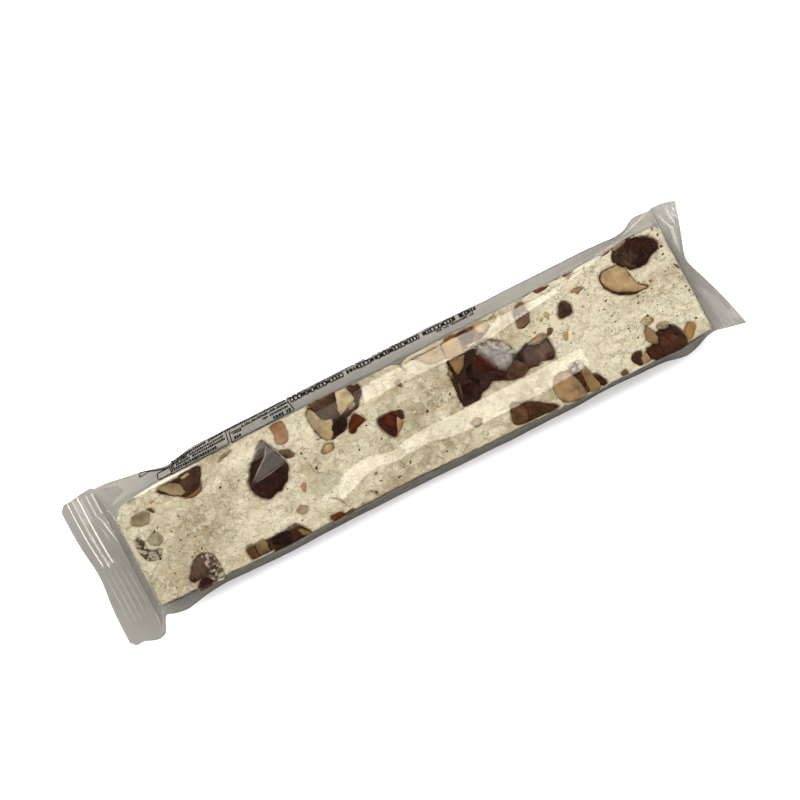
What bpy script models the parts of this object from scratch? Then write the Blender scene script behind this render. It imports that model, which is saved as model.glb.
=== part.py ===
"""A bar of soft almond nougat sealed in a clear flow-wrap film.

One closed solid, the outer form of the sealed pack: a long body that follows the bar, film that
bulges out on both long sides, and a flat crimped fin at each end. The left fin lies out straight;
the right fin is bent up against the bar's end and is steepest at its middle.

Sizes are in millimetres, in the bar's own frame: X along the bar, +Y to its far side, +Z up, the
table at Z = 0. BAR_SHIFT moves the whole to the middle of its bounding box at the very end.
"""

import math

import bpy
import numpy as np

MM = 0.001

# Driving sizes.
BAR_HALF = 100.0  # half the nougat bar's length
PACK_HEIGHT = 13.4  # nougat and film, at the flat top
FIN_HEIGHT = 6.0  # where the fins leave the ends of the body
FIN_THICKNESS = 0.5
BAR_SHIFT = 2.44  # the left fin reaches further out than the bent right one

# The crimp of both fins: ribs that run across the pack, then a flat outer margin.
RIB_COUNT = 5
RIB_PITCH = 1.92
RIB_HEIGHT = 0.45
MARGIN = 2.7
CRIMP = RIB_COUNT * RIB_PITCH
FIN_LENGTH = CRIMP + MARGIN

LEFT_ROOT = -103.4  # where the left fin begins
RIGHT_ROOT = 101.2
LEFT_DROOP = 1.1  # how far the left fin's free edge hangs
LEFT_NOTCH = 1.3  # how far that edge is drawn in at its middle

# The right fin's bend: its free edge is this far past the root at the fold, and further out each
# side of it.
FOLD_Y = 2.5
FOLD_REACH = 0.7
FOLD_SPREAD = 0.42
FOLD_FLATTEN = 0.0035
FOLD_SOFTNESS = 2.0
RIGHT_FAR = (22.7, 21.0)  # the right fin's far edge, at its root and at its free edge
RIGHT_NEAR = (22.7, 24.9)

# Outline of the film seen from above, as (X, distance from the middle line).
FAR_OUTLINE = (
    (-115.7, 24.2), (-114.7, 25.6), (-111.0, 26.4), (-106.8, 27.0), (-103.0, 27.2), (-98.0, 27.2), (-94.0, 26.4),
    (-90.0, 25.6), (-86.0, 24.9), (-82.0, 23.7), (-78.0, 22.6), (-74.0, 23.2), (-70.0, 24.0), (-60.0, 24.1),
    (-30.0, 23.8), (0.0, 23.1), (20.0, 22.7), (45.0, 21.9), (60.0, 21.5), (75.0, 21.0), (82.0, 20.6),
    (87.0, 20.2), (90.0, 20.8), (94.0, 23.4), (97.5, 23.6), (101.2, 22.7),
)
NEAR_OUTLINE = (
    (-115.7, 23.9), (-114.7, 25.1), (-111.2, 25.6), (-105.8, 27.2), (-103.4, 26.3), (-100.8, 21.9), (-98.5, 22.5),
    (-94.0, 23.5), (-90.0, 22.9), (-86.0, 22.0), (-80.0, 21.4), (-60.0, 22.0), (-30.0, 22.4), (0.0, 22.9),
    (34.0, 23.5), (50.0, 23.6), (62.0, 23.1), (70.0, 23.5), (82.0, 24.3), (90.0, 25.9), (94.0, 25.1),
    (98.0, 23.5), (101.2, 22.7),
)
# Long edges of the flat top.
FAR_TOP = (
    (-100.0, 16.4), (-95.0, 17.6), (-86.0, 18.5), (-30.0, 18.0), (0.0, 17.0), (30.0, 16.6),
    (60.0, 16.6), (80.0, 17.0), (90.0, 17.6), (100.0, 16.8),
)
NEAR_TOP = ((-100.0, 18.0), (-60.0, 19.4), (-10.0, 19.8), (20.0, 20.8), (80.0, 22.3), (100.0, 21.8))

TOP_CROWN = 0.3  # how much the flat top rises to its middle
BULGE_HEIGHT = 4.6  # where the film stands furthest out at the sides
BASE_SPREAD = 1.0  # how much wider the base is than the top
EDGE_CUT = 1.3  # rounding of the long edges
BULGE_CUT = 2.2
SEAM_Y = 4.5  # edge of the long seal, folded flat under the pack
SEAM_GROOVE = 0.3

FLAT_POINTS = 17  # points between the rounded edges, on the top and on the base
CORNER_POINTS = 4
BODY_STATIONS = 31
END_STATIONS = 5


def curve(stations, x):
    """The height at x of a smooth curve through the stations."""
    xs, values = np.array(stations).T
    slopes = np.gradient(values, xs)
    x = float(np.clip(x, xs[0], xs[-1]))
    i = int(np.clip(np.searchsorted(xs, x) - 1, 0, len(xs) - 2))
    step = xs[i + 1] - xs[i]
    t = (x - xs[i]) / step
    return (
        values[i] * (1 + 2 * t) * (1 - t) ** 2
        + values[i + 1] * t * t * (3 - 2 * t)
        + slopes[i] * step * t * (1 - t) ** 2
        - slopes[i + 1] * step * t * t * (1 - t)
    )


def body_corners(x):
    """The body's six corners in (Y, Z), from the near base edge round by the far side."""
    near, far = curve(NEAR_OUTLINE, x), curve(FAR_OUTLINE, x)
    near_top, far_top = curve(NEAR_TOP, x), curve(FAR_TOP, x)
    near_base = min(near_top + BASE_SPREAD, near - 0.6)
    far_base = min(far_top + BASE_SPREAD, far - 0.6)
    return np.array([
        (-near_base, 0.0), (far_base, 0.0), (far, BULGE_HEIGHT),
        (far_top, PACK_HEIGHT), (-near_top, PACK_HEIGHT), (-near, BULGE_HEIGHT),
    ])


def fin_corners(near, far):
    """A fin's six corners, about its own middle plane."""
    half, inset = FIN_THICKNESS / 2, 0.3
    return np.array([
        (inset - near, -half), (far - inset, -half), (far, 0.0),
        (far - inset, half), (inset - near, half), (-near, 0.0),
    ])


def rounded(corners, i, cut):
    """The points that replace corner i by a curve that starts and ends at most cut away."""
    corner = corners[i]
    sides = corners[i - 1] - corner, corners[(i + 1) % len(corners)] - corner
    start, end = (corner + side * min(cut / np.linalg.norm(side), 0.45) for side in sides)
    t = np.linspace(0, 1, CORNER_POINTS)[:, None]
    return start * (1 - t) ** 2 + corner * 2 * t * (1 - t) + end * t * t


def between(start, end, lift, groove):
    """The points of the flat top or base: lift raises its middle, and groove cuts the seam's edge."""
    t = np.linspace(0, 1, FLAT_POINTS + 2)[1:-1]
    points = start + (end - start) * t[:, None]
    points[:, 1] += lift * 4 * t * (1 - t)
    if groove:
        i = int(np.argmin(abs(points[:, 0] - SEAM_Y)))
        points[i - 1 : i + 2, 0] = SEAM_Y - 0.5, SEAM_Y, SEAM_Y + 0.5
        points[i, 1] += groove
    return points


def section(corners, lift, groove):
    """The closed outline in (Y, Z), from the near base edge by the far side, as six rounded corners."""
    cuts = EDGE_CUT, EDGE_CUT, BULGE_CUT, EDGE_CUT, EDGE_CUT, BULGE_CUT
    bends = [rounded(corners, i, cut) for i, cut in enumerate(cuts)]
    base = between(bends[0][-1], bends[1][0], 0.0, groove)
    top = between(bends[3][-1], bends[4][0], lift, 0.0)
    return np.concatenate([bends[0], base, bends[1], bends[2], bends[3], top, bends[4], bends[5]])


def rib(distance):
    """How far a fin's surface stands off its middle plane, this far from the fin's root."""
    inside = 0 < distance < CRIMP
    return RIB_HEIGHT / 2 * (1 - math.cos(2 * math.pi * distance / RIB_PITCH)) if inside else 0.0


def left_fin(distance):
    """One ring of the left fin, this far out from its root."""
    x = LEFT_ROOT - distance
    ring = section(fin_corners(curve(NEAR_OUTLINE, x), curve(FAR_OUTLINE, x)), 0.0, 0.0)
    y = ring[:, 0]
    reach = distance / FIN_LENGTH
    z = FIN_HEIGHT + ring[:, 1] + rib(distance) - LEFT_DROOP * reach**2
    out = distance - LEFT_NOTCH * reach * np.exp(-((y / 9) ** 2))
    return np.column_stack([LEFT_ROOT - out, y, z])


def right_fin(distance):
    """One ring of the right fin, this far along it from its root, bent up by its fold."""
    reach = distance / FIN_LENGTH
    near = RIGHT_NEAR[0] + (RIGHT_NEAR[1] - RIGHT_NEAR[0]) * reach
    far = RIGHT_FAR[0] + (RIGHT_FAR[1] - RIGHT_FAR[0]) * reach**2
    ring = section(fin_corners(near, far), 0.0, 0.0)
    y, off = ring[:, 0], ring[:, 1] + rib(distance)
    away = np.sqrt((y - FOLD_Y) ** 2 + FOLD_SOFTNESS**2) - FOLD_SOFTNESS
    cosine = (FOLD_REACH + FOLD_SPREAD * away - FOLD_FLATTEN * away**2) / FIN_LENGTH
    sine = np.sqrt(1 - cosine**2)
    return np.column_stack([
        RIGHT_ROOT + distance * cosine - off * sine, y, FIN_HEIGHT + distance * sine + off * cosine,
    ])


def body(x, root):
    """One ring of the body; between the bar's end and the fin's root it closes down to the fin."""
    closing = float(np.clip((abs(x) - BAR_HALF) / (abs(root) - BAR_HALF), 0, 1))
    flat = fin_corners(curve(NEAR_OUTLINE, x), curve(FAR_OUTLINE, x)) + (0.0, FIN_HEIGHT)
    corners = body_corners(x) * (1 - closing) + flat * closing
    ring = section(corners, TOP_CROWN * (1 - closing), SEAM_GROOVE * (1 - closing))
    return np.column_stack([np.full(len(ring), x), ring])


def rings():
    """Every ring of the pack, from the left fin's free edge to the right one's."""
    ribs = np.arange(2 * RIB_COUNT + 1) * RIB_PITCH / 2
    fin = [*ribs, CRIMP + MARGIN / 3, FIN_LENGTH]
    left = np.linspace(LEFT_ROOT, -BAR_HALF, END_STATIONS + 1)[1:-1]
    middle = np.linspace(-BAR_HALF, BAR_HALF, BODY_STATIONS)
    right = np.linspace(BAR_HALF, RIGHT_ROOT, END_STATIONS + 1)[1:-1]
    found = [left_fin(distance) for distance in reversed(fin)]
    found += [body(x, LEFT_ROOT) for x in [*left, *middle[: BODY_STATIONS // 2]]]
    found += [body(x, RIGHT_ROOT) for x in [*middle[BODY_STATIONS // 2 :], *right]]
    found += [right_fin(distance) for distance in fin]
    return found


def pack_mesh():
    """The rings skinned into one closed mesh, with a ladder of faces across each free edge."""
    found = rings()
    size = len(found[0])
    faces = []
    for k in range(len(found) - 1):
        low, high = k * size, (k + 1) * size
        for i in range(size):
            j = (i + 1) % size
            faces.append((low + i, low + j, high + j, high + i))
    # A ring runs out along the base and back along the top, from and to the middle of its last corner.
    shift = CORNER_POINTS // 2
    lower = [(i - shift) % size for i in range(size // 2)]
    upper = [(-i - 1 - shift) % size for i in range(size // 2)]
    end = (len(found) - 1) * size
    for i in range(size // 2 - 1):
        faces.append((upper[i], upper[i + 1], lower[i + 1], lower[i]))
        faces.append((end + lower[i], end + lower[i + 1], end + upper[i + 1], end + upper[i]))
    points = (np.concatenate(found) + (BAR_SHIFT, 0.0, 0.0)) * MM
    mesh = bpy.data.meshes.new("sealed_pack")
    mesh.from_pydata(points.tolist(), [], faces)
    mesh.validate()
    mesh.shade_smooth()
    mesh.set_sharp_from_angle(angle=math.radians(35))
    return mesh


def clear_film():
    """The pack's material: clear film over pale nougat."""
    material = bpy.data.materials.new("clear_film")
    material.use_nodes = True
    shader = material.node_tree.nodes["Principled BSDF"]
    shader.inputs["Base Color"].default_value = (0.62, 0.56, 0.44, 1.0)
    shader.inputs["Roughness"].default_value = 0.18
    shader.inputs["Metallic"].default_value = 0.0
    return material


for old in list(bpy.data.objects):
    bpy.data.objects.remove(old)

pack = bpy.data.objects.new("sealed_pack", pack_mesh())
pack.data.materials.append(clear_film())
bpy.context.scene.collection.objects.link(pack)
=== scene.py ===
"""The looks of the nougat bar: the clear film with its print, the nougat, its almonds and caramel.

Sizes are in millimetres in the bar's own frame, as in part.py: X along the bar, +Y to its far side,
+Z up, the table at Z = 0. SHIFT moves a point to the frame that the CAD is in.
"""

import math

import bpy
import numpy as np
from mathutils import Matrix, Vector
from mathutils.geometry import delaunay_2d_cdt


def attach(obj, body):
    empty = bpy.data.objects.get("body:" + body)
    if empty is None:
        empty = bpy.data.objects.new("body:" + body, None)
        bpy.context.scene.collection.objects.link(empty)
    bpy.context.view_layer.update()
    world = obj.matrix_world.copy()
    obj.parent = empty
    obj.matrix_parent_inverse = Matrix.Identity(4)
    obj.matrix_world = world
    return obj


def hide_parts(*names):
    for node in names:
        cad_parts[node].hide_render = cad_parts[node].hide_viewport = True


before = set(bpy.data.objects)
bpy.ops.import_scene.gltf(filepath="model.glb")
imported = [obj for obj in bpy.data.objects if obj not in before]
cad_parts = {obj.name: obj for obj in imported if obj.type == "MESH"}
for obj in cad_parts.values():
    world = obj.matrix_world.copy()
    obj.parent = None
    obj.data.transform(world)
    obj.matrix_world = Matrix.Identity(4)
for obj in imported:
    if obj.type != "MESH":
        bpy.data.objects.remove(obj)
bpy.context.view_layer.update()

MM = 0.001
SHIFT = np.array([2.44, 0.0, 0.0])

# ---------------------------------------------------------------- the pack's sizes, from part.py

BAR_HALF = 100.0
PACK_HEIGHT = 13.4
FIN_HEIGHT = 6.0
FIN_THICKNESS = 0.16
RIB_COUNT = 5
RIB_PITCH = 1.92
RIB_HEIGHT = 0.2
MARGIN = 2.7
CRIMP = RIB_COUNT * RIB_PITCH
FIN_LENGTH = CRIMP + MARGIN
LEFT_ROOT, RIGHT_ROOT = -103.4, 101.2
LEFT_DROOP, LEFT_NOTCH = 1.1, 1.3
FOLD_Y, FOLD_REACH, FOLD_SPREAD, FOLD_FLATTEN, FOLD_SOFTNESS = 2.5, 0.7, 0.42, 0.0035, 2.0
RIGHT_FAR, RIGHT_NEAR = (22.7, 21.0), (22.7, 24.9)

FAR_OUTLINE = (
    (-115.7, 24.2), (-114.7, 25.6), (-111.0, 26.4), (-106.8, 27.0), (-103.0, 27.2), (-98.0, 27.2),
    (-94.0, 26.4), (-90.0, 25.6), (-86.0, 24.9), (-82.0, 23.7), (-78.0, 22.6), (-74.0, 23.2),
    (-70.0, 24.0), (-60.0, 24.1), (-30.0, 23.8), (0.0, 23.1), (20.0, 22.7), (45.0, 21.9), (60.0, 21.5),
    (75.0, 21.0), (82.0, 20.6), (87.0, 20.2), (90.0, 20.8), (94.0, 23.4), (97.5, 23.6), (101.2, 22.7),
)
NEAR_OUTLINE = (
    (-115.7, 23.9), (-114.7, 25.1), (-111.2, 25.6), (-105.8, 27.2), (-103.4, 26.3), (-100.8, 21.9),
    (-98.5, 22.5), (-94.0, 23.5), (-90.0, 22.9), (-86.0, 22.0), (-80.0, 21.4), (-60.0, 22.0),
    (-30.0, 22.4), (0.0, 22.9), (34.0, 23.5), (50.0, 23.6), (62.0, 23.1), (70.0, 23.5), (82.0, 24.3),
    (90.0, 25.9), (94.0, 25.1), (98.0, 23.5), (101.2, 22.7),
)
FAR_TOP = (
    (-100.0, 16.4), (-95.0, 17.6), (-86.0, 18.5), (-30.0, 18.0), (0.0, 17.0), (30.0, 16.6),
    (60.0, 16.6), (80.0, 17.0), (90.0, 17.6), (100.0, 16.8),
)
NEAR_TOP = ((-100.0, 18.0), (-60.0, 19.4), (-10.0, 19.8), (20.0, 20.8), (80.0, 22.3), (100.0, 21.8))
BULGE_HEIGHT = 4.6
BASE_SPREAD = 1.0
EDGE_CUT, BULGE_CUT = 1.3, 2.2

# The film as it is drawn: how its mesh is spread.
TOP_POINTS = 84
BASE_POINTS = 26
CORNER_POINTS = 6
SLOPE_POINTS = 7
BODY_STEP = 0.5
RIB_STEPS = 12
CLOSING_POINTS = 13
MARGIN_POINTS = 7
LEFT_RIBS = 0.5, 0.6, 1.0, 1.1, 0.55  # how strongly each rib is pressed, from the root out
RIGHT_RIBS = (0.9,) * RIB_COUNT

# The nougat inside the film.
NOUGAT_HALF = 99.6
NOUGAT_TOP = 12.8
NOUGAT_BASE = 0.45
NOUGAT_STEP = 0.48
NOUGAT_POINTS = 14, 8, 9, 104, 9, 8  # on the base, the far side in two parts, the top, the near side
NOUGAT_CUT = 0.8
NOUGAT_WAIST = 6.0
END_RINGS = 22

# The camera, and the two long strips of light that the flat of the film mirrors.
CAMERA_ABOVE = 700.0  # over the top of the pack
FRAME_WIDTH = 258.6  # what the picture's width takes in there
ROLL = math.radians(-27.8)
LOOKS_AT = (-0.39, 5.36)
STRIP_ABOVE = 900.0
REACH = STRIP_ABOVE / CAMERA_ABOVE
NEAR_STRIP = (-59.0, -32.0)  # the strips' near and far edges, Y
FAR_STRIP = (34.0, 54.0)

# Where the film's undulation puts the mirrored bands: (x, near edge, far edge).
NEAR_BAND = (
    (-100.0, -15.0, -9.0), (-75.0, -14.0, -9.0), (-36.0, -14.5, -10.6), (-32.0, -14.0, -9.7),
    (-28.0, -13.2, -7.5), (-25.0, -12.2, -6.7), (-22.0, -11.0, -6.3), (-19.0, -10.4, -6.0),
    (-16.0, -10.0, -6.8), (-10.0, -11.5, -8.0), (-5.0, -11.0, -7.0), (-2.0, -10.7, -6.7),
    (3.0, -11.2, -6.5), (8.0, -12.5, -6.6), (18.0, -13.6, -6.8), (30.0, -14.0, -6.8),
    (45.0, -13.7, -6.9), (59.0, -13.0, -7.0), (100.0, -13.0, -7.0),
)
FAR_BAND = (
    (-100.0, 10.0, 14.0), (-60.0, 10.0, 14.4), (-10.0, 10.0, 14.8), (10.0, 9.9, 15.0),
    (36.0, 9.6, 14.6), (45.0, 10.8, 14.0), (58.0, 12.3, 13.6), (100.0, 12.5, 14.0),
)


# ---------------------------------------------------------------- numbers and curves


def curve(stations, x):
    """The height at each x of a smooth curve through the stations."""
    xs, values = np.array(stations, float).T
    slopes = np.gradient(values, xs)
    x = np.clip(np.asarray(x, float), xs[0], xs[-1])
    i = np.clip(np.searchsorted(xs, x) - 1, 0, len(xs) - 2)
    step = xs[i + 1] - xs[i]
    t = (x - xs[i]) / step
    return (
        values[i] * (1 + 2 * t) * (1 - t) ** 2
        + values[i + 1] * t * t * (3 - 2 * t)
        + slopes[i] * step * t * (1 - t) ** 2
        - slopes[i + 1] * step * t * t * (1 - t)
    )


def ramp(low, high, x):
    """0 below low, 1 above high, smooth between; low may be the larger."""
    t = np.clip((np.asarray(x, float) - low) / (high - low), 0, 1)
    return t * t * (3 - 2 * t)


def bump(x, centre, width):
    """1 at the centre and fading to nothing about two widths from it."""
    return np.exp(-(((np.asarray(x, float) - centre) / width) ** 2))


def lattice(cell, seed):
    """A fixed number from -1 to 1 for each whole-numbered cell."""
    cell = cell.astype(np.int64)
    n = cell[..., 0] * 374761393 + cell[..., 1] * 668265263 + cell[..., 2] * 1442695041 + seed * 97531
    n &= 0xFFFFFFFF
    n = ((n ^ (n >> 13)) * 1274126177) & 0xFFFFFFFF
    n = ((n ^ (n >> 16)) * 2246822519) & 0xFFFFFFFF
    return (n ^ (n >> 15)) / 2147483647.5 - 1.0


def noise(points, scale, octaves=1, seed=0):
    """Smooth noise of about -1 to 1 at each point; scale is the size of its largest lumps."""
    points = np.asarray(points, float)
    if points.shape[-1] == 2:
        points = np.concatenate([points, np.zeros(points.shape[:-1] + (1,))], axis=-1)
    total, strength = np.zeros(points.shape[:-1]), 1.0
    for octave in range(octaves):
        p = points / scale + 17.3 * octave
        cell = np.floor(p)
        t = p - cell
        t = t * t * (3 - 2 * t)
        value = np.zeros_like(total)
        for corner in range(8):
            step = np.array([corner & 1, corner >> 1 & 1, corner >> 2])
            weight = np.prod(np.where(step == 1, t, 1 - t), axis=-1)
            value += weight * lattice(cell + step, seed + 31 * octave)
        total += strength * value
        scale, strength = scale / 2, strength / 2
    return total


def rgb(red, green, blue):
    """Linear light from a colour of 0 to 255."""
    c = np.array([red, green, blue]) / 255
    return np.where(c <= 0.04045, c / 12.92, ((c + 0.055) / 1.055) ** 2.4)


SEEN = np.array([1.0, 0.97, 0.92])  # how bright a white surface under the film comes out


def under_film(red, green, blue):
    """The base colour of a surface that looks this colour through the film in this light."""
    return tuple(np.clip(rgb(red, green, blue) / SEEN, 0, 0.9))


def from_sides(points, start, side):
    """How far each point is from the nearest of some straight sides, given by their starts and ways."""
    away = points[:, None] - start
    along = np.clip((away * side).sum(-1) / np.maximum((side * side).sum(-1), 1e-9), 0, 1)
    return np.linalg.norm(away - side * along[..., None], axis=-1).min(axis=1)


def from_line(points, line):
    """How far each point is from an open line of points."""
    line = np.array(line, float)
    return from_sides(points, line[:-1], np.diff(line, axis=0))


def inside_by(points, ring):
    """How far inside a closed ring each point is; negative outside it."""
    start, end = ring, np.roll(ring, -1, axis=0)
    side = end - start
    distance = from_sides(points, start, side)
    y = points[:, None, 1]
    spans = (start[:, 1] > y) != (end[:, 1] > y)
    rise = np.where(side[:, 1] == 0, 1e-9, side[:, 1])
    at = start[:, 0] + (y - start[:, 1]) * side[:, 0] / rise
    inside = (spans & (points[:, None, 0] < at)).sum(axis=1) % 2 == 1
    return np.where(inside, distance, -distance)


def loop(corners, softness, seed, step=0.35, wobble=0.2):
    """A closed outline through the corners: straight between them at softness 0, curved at 1."""
    corners = np.array(corners, float)
    following = np.roll(corners, -1, axis=0)
    if np.sum(corners[:, 0] * following[:, 1] - following[:, 0] * corners[:, 1]) < 0:
        corners = corners[::-1]
    size, ring = len(corners), []
    for i in range(size):
        before, start, end, after = (corners[(i + k) % size] for k in (-1, 0, 1, 2))
        count = max(2, round(np.linalg.norm(end - start) / step))
        t = (np.arange(count) / count)[:, None]
        bent = start + (end - before) * t / 2 + (2 * before - 5 * start + 4 * end - after) * t**2 / 2
        bent = bent + (3 * start - before - 3 * end + after) * t**3 / 2
        ring.append((start + (end - start) * t) * (1 - softness) + bent * softness)
    ring = np.concatenate(ring)
    shake = np.stack([noise(ring, 1.3, 4, seed), noise(ring, 1.3, 4, seed + 1)], axis=-1)
    return ring + wobble * shake


def filled(ring, step):
    """Points and triangles that fill a ring, and which of the points are the ring's own."""
    low, high = ring.min(axis=0), ring.max(axis=0)
    x, y = np.meshgrid(np.arange(low[0], high[0], step), np.arange(low[1], high[1], step))
    x = x + step / 2 * (np.arange(len(y)) % 2)[:, None]
    inner = np.column_stack([x.ravel(), y.ravel()])
    inner = inner[inside_by(inner, ring) > step / 2]
    flat = [Vector(p) for p in np.concatenate([ring, inner])]
    made = delaunay_2d_cdt(flat, [], [list(range(len(ring)))], 1, 1e-6)
    rim = [next(i for i, source in enumerate(made[3]) if k in source) for k in range(len(ring))]
    return np.array([tuple(v) for v in made[0]]), [tuple(face) for face in made[2]], rim


# ---------------------------------------------------------------- meshes


def placed(name, data):
    """A new object in the scene."""
    made = bpy.data.objects.new(name, data)
    bpy.context.scene.collection.objects.link(made)
    return made


def merged(parts):
    """Many parts, each of points, faces and a number or colour per point, as one of the same."""
    faces, count = [], 0
    for points, rows, _ in parts:
        faces += [tuple(i + count for i in row) for row in rows]
        count += len(points)
    every_point = np.concatenate([points for points, _, _ in parts])
    return every_point, faces, np.concatenate([values for _, _, values in parts])


def mesh_object(name, points, faces, material, colours=None, marks=None, crisp=None):
    """A smooth mesh from points in millimetres, with edges sharper than crisp degrees kept.

    colours is one per point, and marks is {name: a number per point}.
    """
    mesh = bpy.data.meshes.new(name)
    faces = [tuple(int(i) for i in face) for face in faces]
    mesh.from_pydata(((np.asarray(points) + SHIFT) * MM).tolist(), [], faces)
    mesh.shade_smooth()
    if crisp:
        mesh.set_sharp_from_angle(angle=math.radians(crisp))
    if colours is not None:
        layer = mesh.color_attributes.new("tint", "FLOAT_COLOR", "POINT")
        rgba = np.concatenate([np.asarray(colours), np.ones((len(points), 1))], axis=1)
        layer.data.foreach_set("color", rgba.ravel())
    for label, values in (marks or {}).items():
        layer = mesh.attributes.new(label, "FLOAT", "POINT")
        layer.data.foreach_set("value", np.asarray(values, float).ravel())
    mesh.materials.append(material)
    made = placed(name, mesh)
    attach(made, "root")
    return made


def tube_faces(stations, size):
    """Quads that skin rings of size points each into a tube."""
    k, i = np.meshgrid(np.arange(stations - 1), np.arange(size), indexing="ij")
    j = (i + 1) % size
    quads = np.stack([k * size + i, k * size + j, (k + 1) * size + j, (k + 1) * size + i], axis=-1)
    return quads.reshape(-1, 4)


def normals_of(grid):
    """Unit normals of a grid of rings, pointing out of the tube."""
    along = np.gradient(grid, axis=0)
    round_it = (np.roll(grid, -1, axis=1) - np.roll(grid, 1, axis=1)) / 2
    n = np.cross(round_it, along)
    return n / np.maximum(np.linalg.norm(n, axis=-1, keepdims=True), 1e-9)


# ---------------------------------------------------------------- node materials


class Nodes:
    """A small hand for writing node trees."""

    def __init__(self, name):
        self.material = bpy.data.materials.new(name)
        self.material.use_nodes = True
        self.tree = self.material.node_tree
        self.tree.nodes.clear()
        self.out = self.add("ShaderNodeOutputMaterial")

    def add(self, kind, settings=None, **inputs):
        """A new node; an underscore in an input's name stands for a space."""
        node = self.tree.nodes.new(kind)
        for key, value in (settings or {}).items():
            setattr(node, key, value)
        for key, value in inputs.items():
            self.put(node, key.replace("_", " "), value)
        return node

    def put(self, node, key, value):
        """Link or set an input, which is named or, where names repeat, numbered."""
        socket = node.inputs[int(key) if key.isdigit() else key]
        if isinstance(value, bpy.types.NodeSocket):
            self.tree.links.new(value, socket)
        elif hasattr(value, "__len__") and len(value) == 3 and socket.type == "RGBA":
            socket.default_value = (*value, 1.0)
        else:
            socket.default_value = value

    def noise(self, size, detail=3.0, roughness=0.55, stretch=(1.0, 1.0, 1.0)):
        """Noise of 0 to 1 whose lumps are about size millimetres."""
        where = self.add("ShaderNodeTexCoord").outputs["Object"]
        where = self.add("ShaderNodeMapping", Vector=where, Scale=stretch).outputs[0]
        scale = 1 / (size * MM)
        made = self.add("ShaderNodeTexNoise", Vector=where, Scale=scale, Detail=detail, Roughness=roughness)
        return made.outputs["Fac"]

    def spread(self, value, low, high, to_low=0.0, to_high=1.0):
        """value taken from low..high to to_low..to_high, held at its ends."""
        ends = {"From_Min": low, "From_Max": high, "To_Min": to_low, "To_Max": to_high}
        return self.add("ShaderNodeMapRange", {"clamp": True}, Value=value, **ends).outputs[0]

    def blend(self, factor, low, high, how="MIX"):
        """One colour where the factor is 0, the other where it is 1."""
        made = self.add("ShaderNodeMix", {"data_type": "RGBA", "blend_type": how})
        for socket, value in (("0", factor), ("6", low), ("7", high)):
            self.put(made, socket, value)
        return made.outputs[2]

    def compute(self, operation, *values):
        """A number worked out from one or two others."""
        made = self.add("ShaderNodeMath", {"operation": operation})
        for i, value in enumerate(values):
            self.put(made, str(i), value)
        return made.outputs[0]

    def times(self, a, b):
        return self.compute("MULTIPLY", a, b)

    def mark(self, name):
        return self.add("ShaderNodeAttribute", {"attribute_name": name}).outputs["Fac"]

    def tint(self):
        return self.add("ShaderNodeAttribute", {"attribute_name": "tint"}).outputs["Color"]

    def line(self, value, width):
        """1 along the line where a noise crosses its middle, 0 away from it."""
        off = self.compute("ABSOLUTE", self.compute("SUBTRACT", value, 0.5))
        return self.spread(off, 0.0, width, 1.0, 0.0)

    def raised(self, height, depth, under=None):
        """A bump from a 0..1 height, depth millimetres high, over the bump under it."""
        made = self.add("ShaderNodeBump", Height=height, Strength=1.0, Distance=depth * MM)
        if under is not None:
            self.put(made, "Normal", under)
        return made.outputs[0]

    def mixed(self, factor, first, second):
        """One shader where the factor is 0, the other where it is 1."""
        made = self.add("ShaderNodeMixShader", Fac=factor)
        self.put(made, "1", first)
        self.put(made, "2", second)
        return made.outputs[0]

    def shader(self, kind, **inputs):
        return self.add("ShaderNodeBsdf" + kind, **inputs).outputs[0]

    def surface(self, colour, roughness, bumps=None, specular=0.5, shine=(1.0, 1.0, 1.0)):
        """Finish the material as a solid one."""
        made = self.add("ShaderNodeBsdfPrincipled", Base_Color=colour, Roughness=roughness)
        self.put(made, "Specular IOR Level", specular)
        self.put(made, "Specular Tint", shine)
        if bumps is not None:
            self.put(made, "Normal", bumps)
        return self.finish(made.outputs[0])

    def finish(self, shader):
        self.tree.links.new(shader, self.out.inputs["Surface"])
        return self.material


WARM_SHINE = (1.0, 0.8, 0.6)
FILM_HAZE = 0.0006
FILM_LAYER = (0.457, 0.446, 0.422)  # what one layer of film lets through
FILM_EDGE = (0.11, 0.10, 0.085)  # the same, seen edge on
FILM_GLOSS, FILM_SHEEN = 0.045, 0.10  # what it reflects, seen straight on and edge on
FILM_REFLECTION = (1.0, 0.94, 0.82)
DARKENS, MIRRORS = 2.4, 5.0  # how late, as it turns edge on, the film darkens and mirrors more


def clear_shader(n, crinkle):
    """Clear film that lets less through and mirrors more as it turns edge on."""
    facing = n.add("ShaderNodeLayerWeight", Blend=0.5).outputs["Facing"]
    darker = n.times(n.compute("POWER", facing, DARKENS), n.mark("shade"))
    clear = n.shader("Transparent", Color=n.blend(darker, FILM_LAYER, FILM_EDGE))
    gloss = n.shader("Glossy", Color=FILM_REFLECTION, Roughness=0.015, Normal=crinkle)
    share = n.spread(n.compute("POWER", facing, MIRRORS), 0.0, 1.0, FILM_GLOSS, FILM_SHEEN)
    return n.mixed(share, clear, gloss)


def film_material():
    """Clear film: grey-tinted and glossy, milky where the haze_and_sheen mark says so, which on the right
    fin is partly painted light.
    """
    n = Nodes("clear_film")
    film = clear_shader(n, n.raised(n.noise(2.2, 3.0, stretch=(0.35, 1.0, 1.0)), 0.0004))
    milk_and_sheen = n.shader("Diffuse", Color=(0.8, 0.77, 0.7))
    return n.finish(n.mixed(n.mark("haze_and_sheen"), film, milk_and_sheen))


def crease_material():
    """A crease or a doubled patch of the film, milky by its haze_and_sheen mark, which paints in the
    highlights and sheen where they catch the light.
    """
    n = Nodes("film_crease_glint")
    clear = n.shader("Transparent", Color=(0.97, 0.97, 0.96))
    milk_and_sheen = n.shader("Diffuse", Color=(0.86, 0.81, 0.74))
    uneven = n.spread(n.noise(1.5, 2.0), 0.3, 0.6, 0.75, 1.0)
    return n.finish(n.mixed(n.times(n.mark("haze_and_sheen"), uneven), clear, milk_and_sheen))


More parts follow.
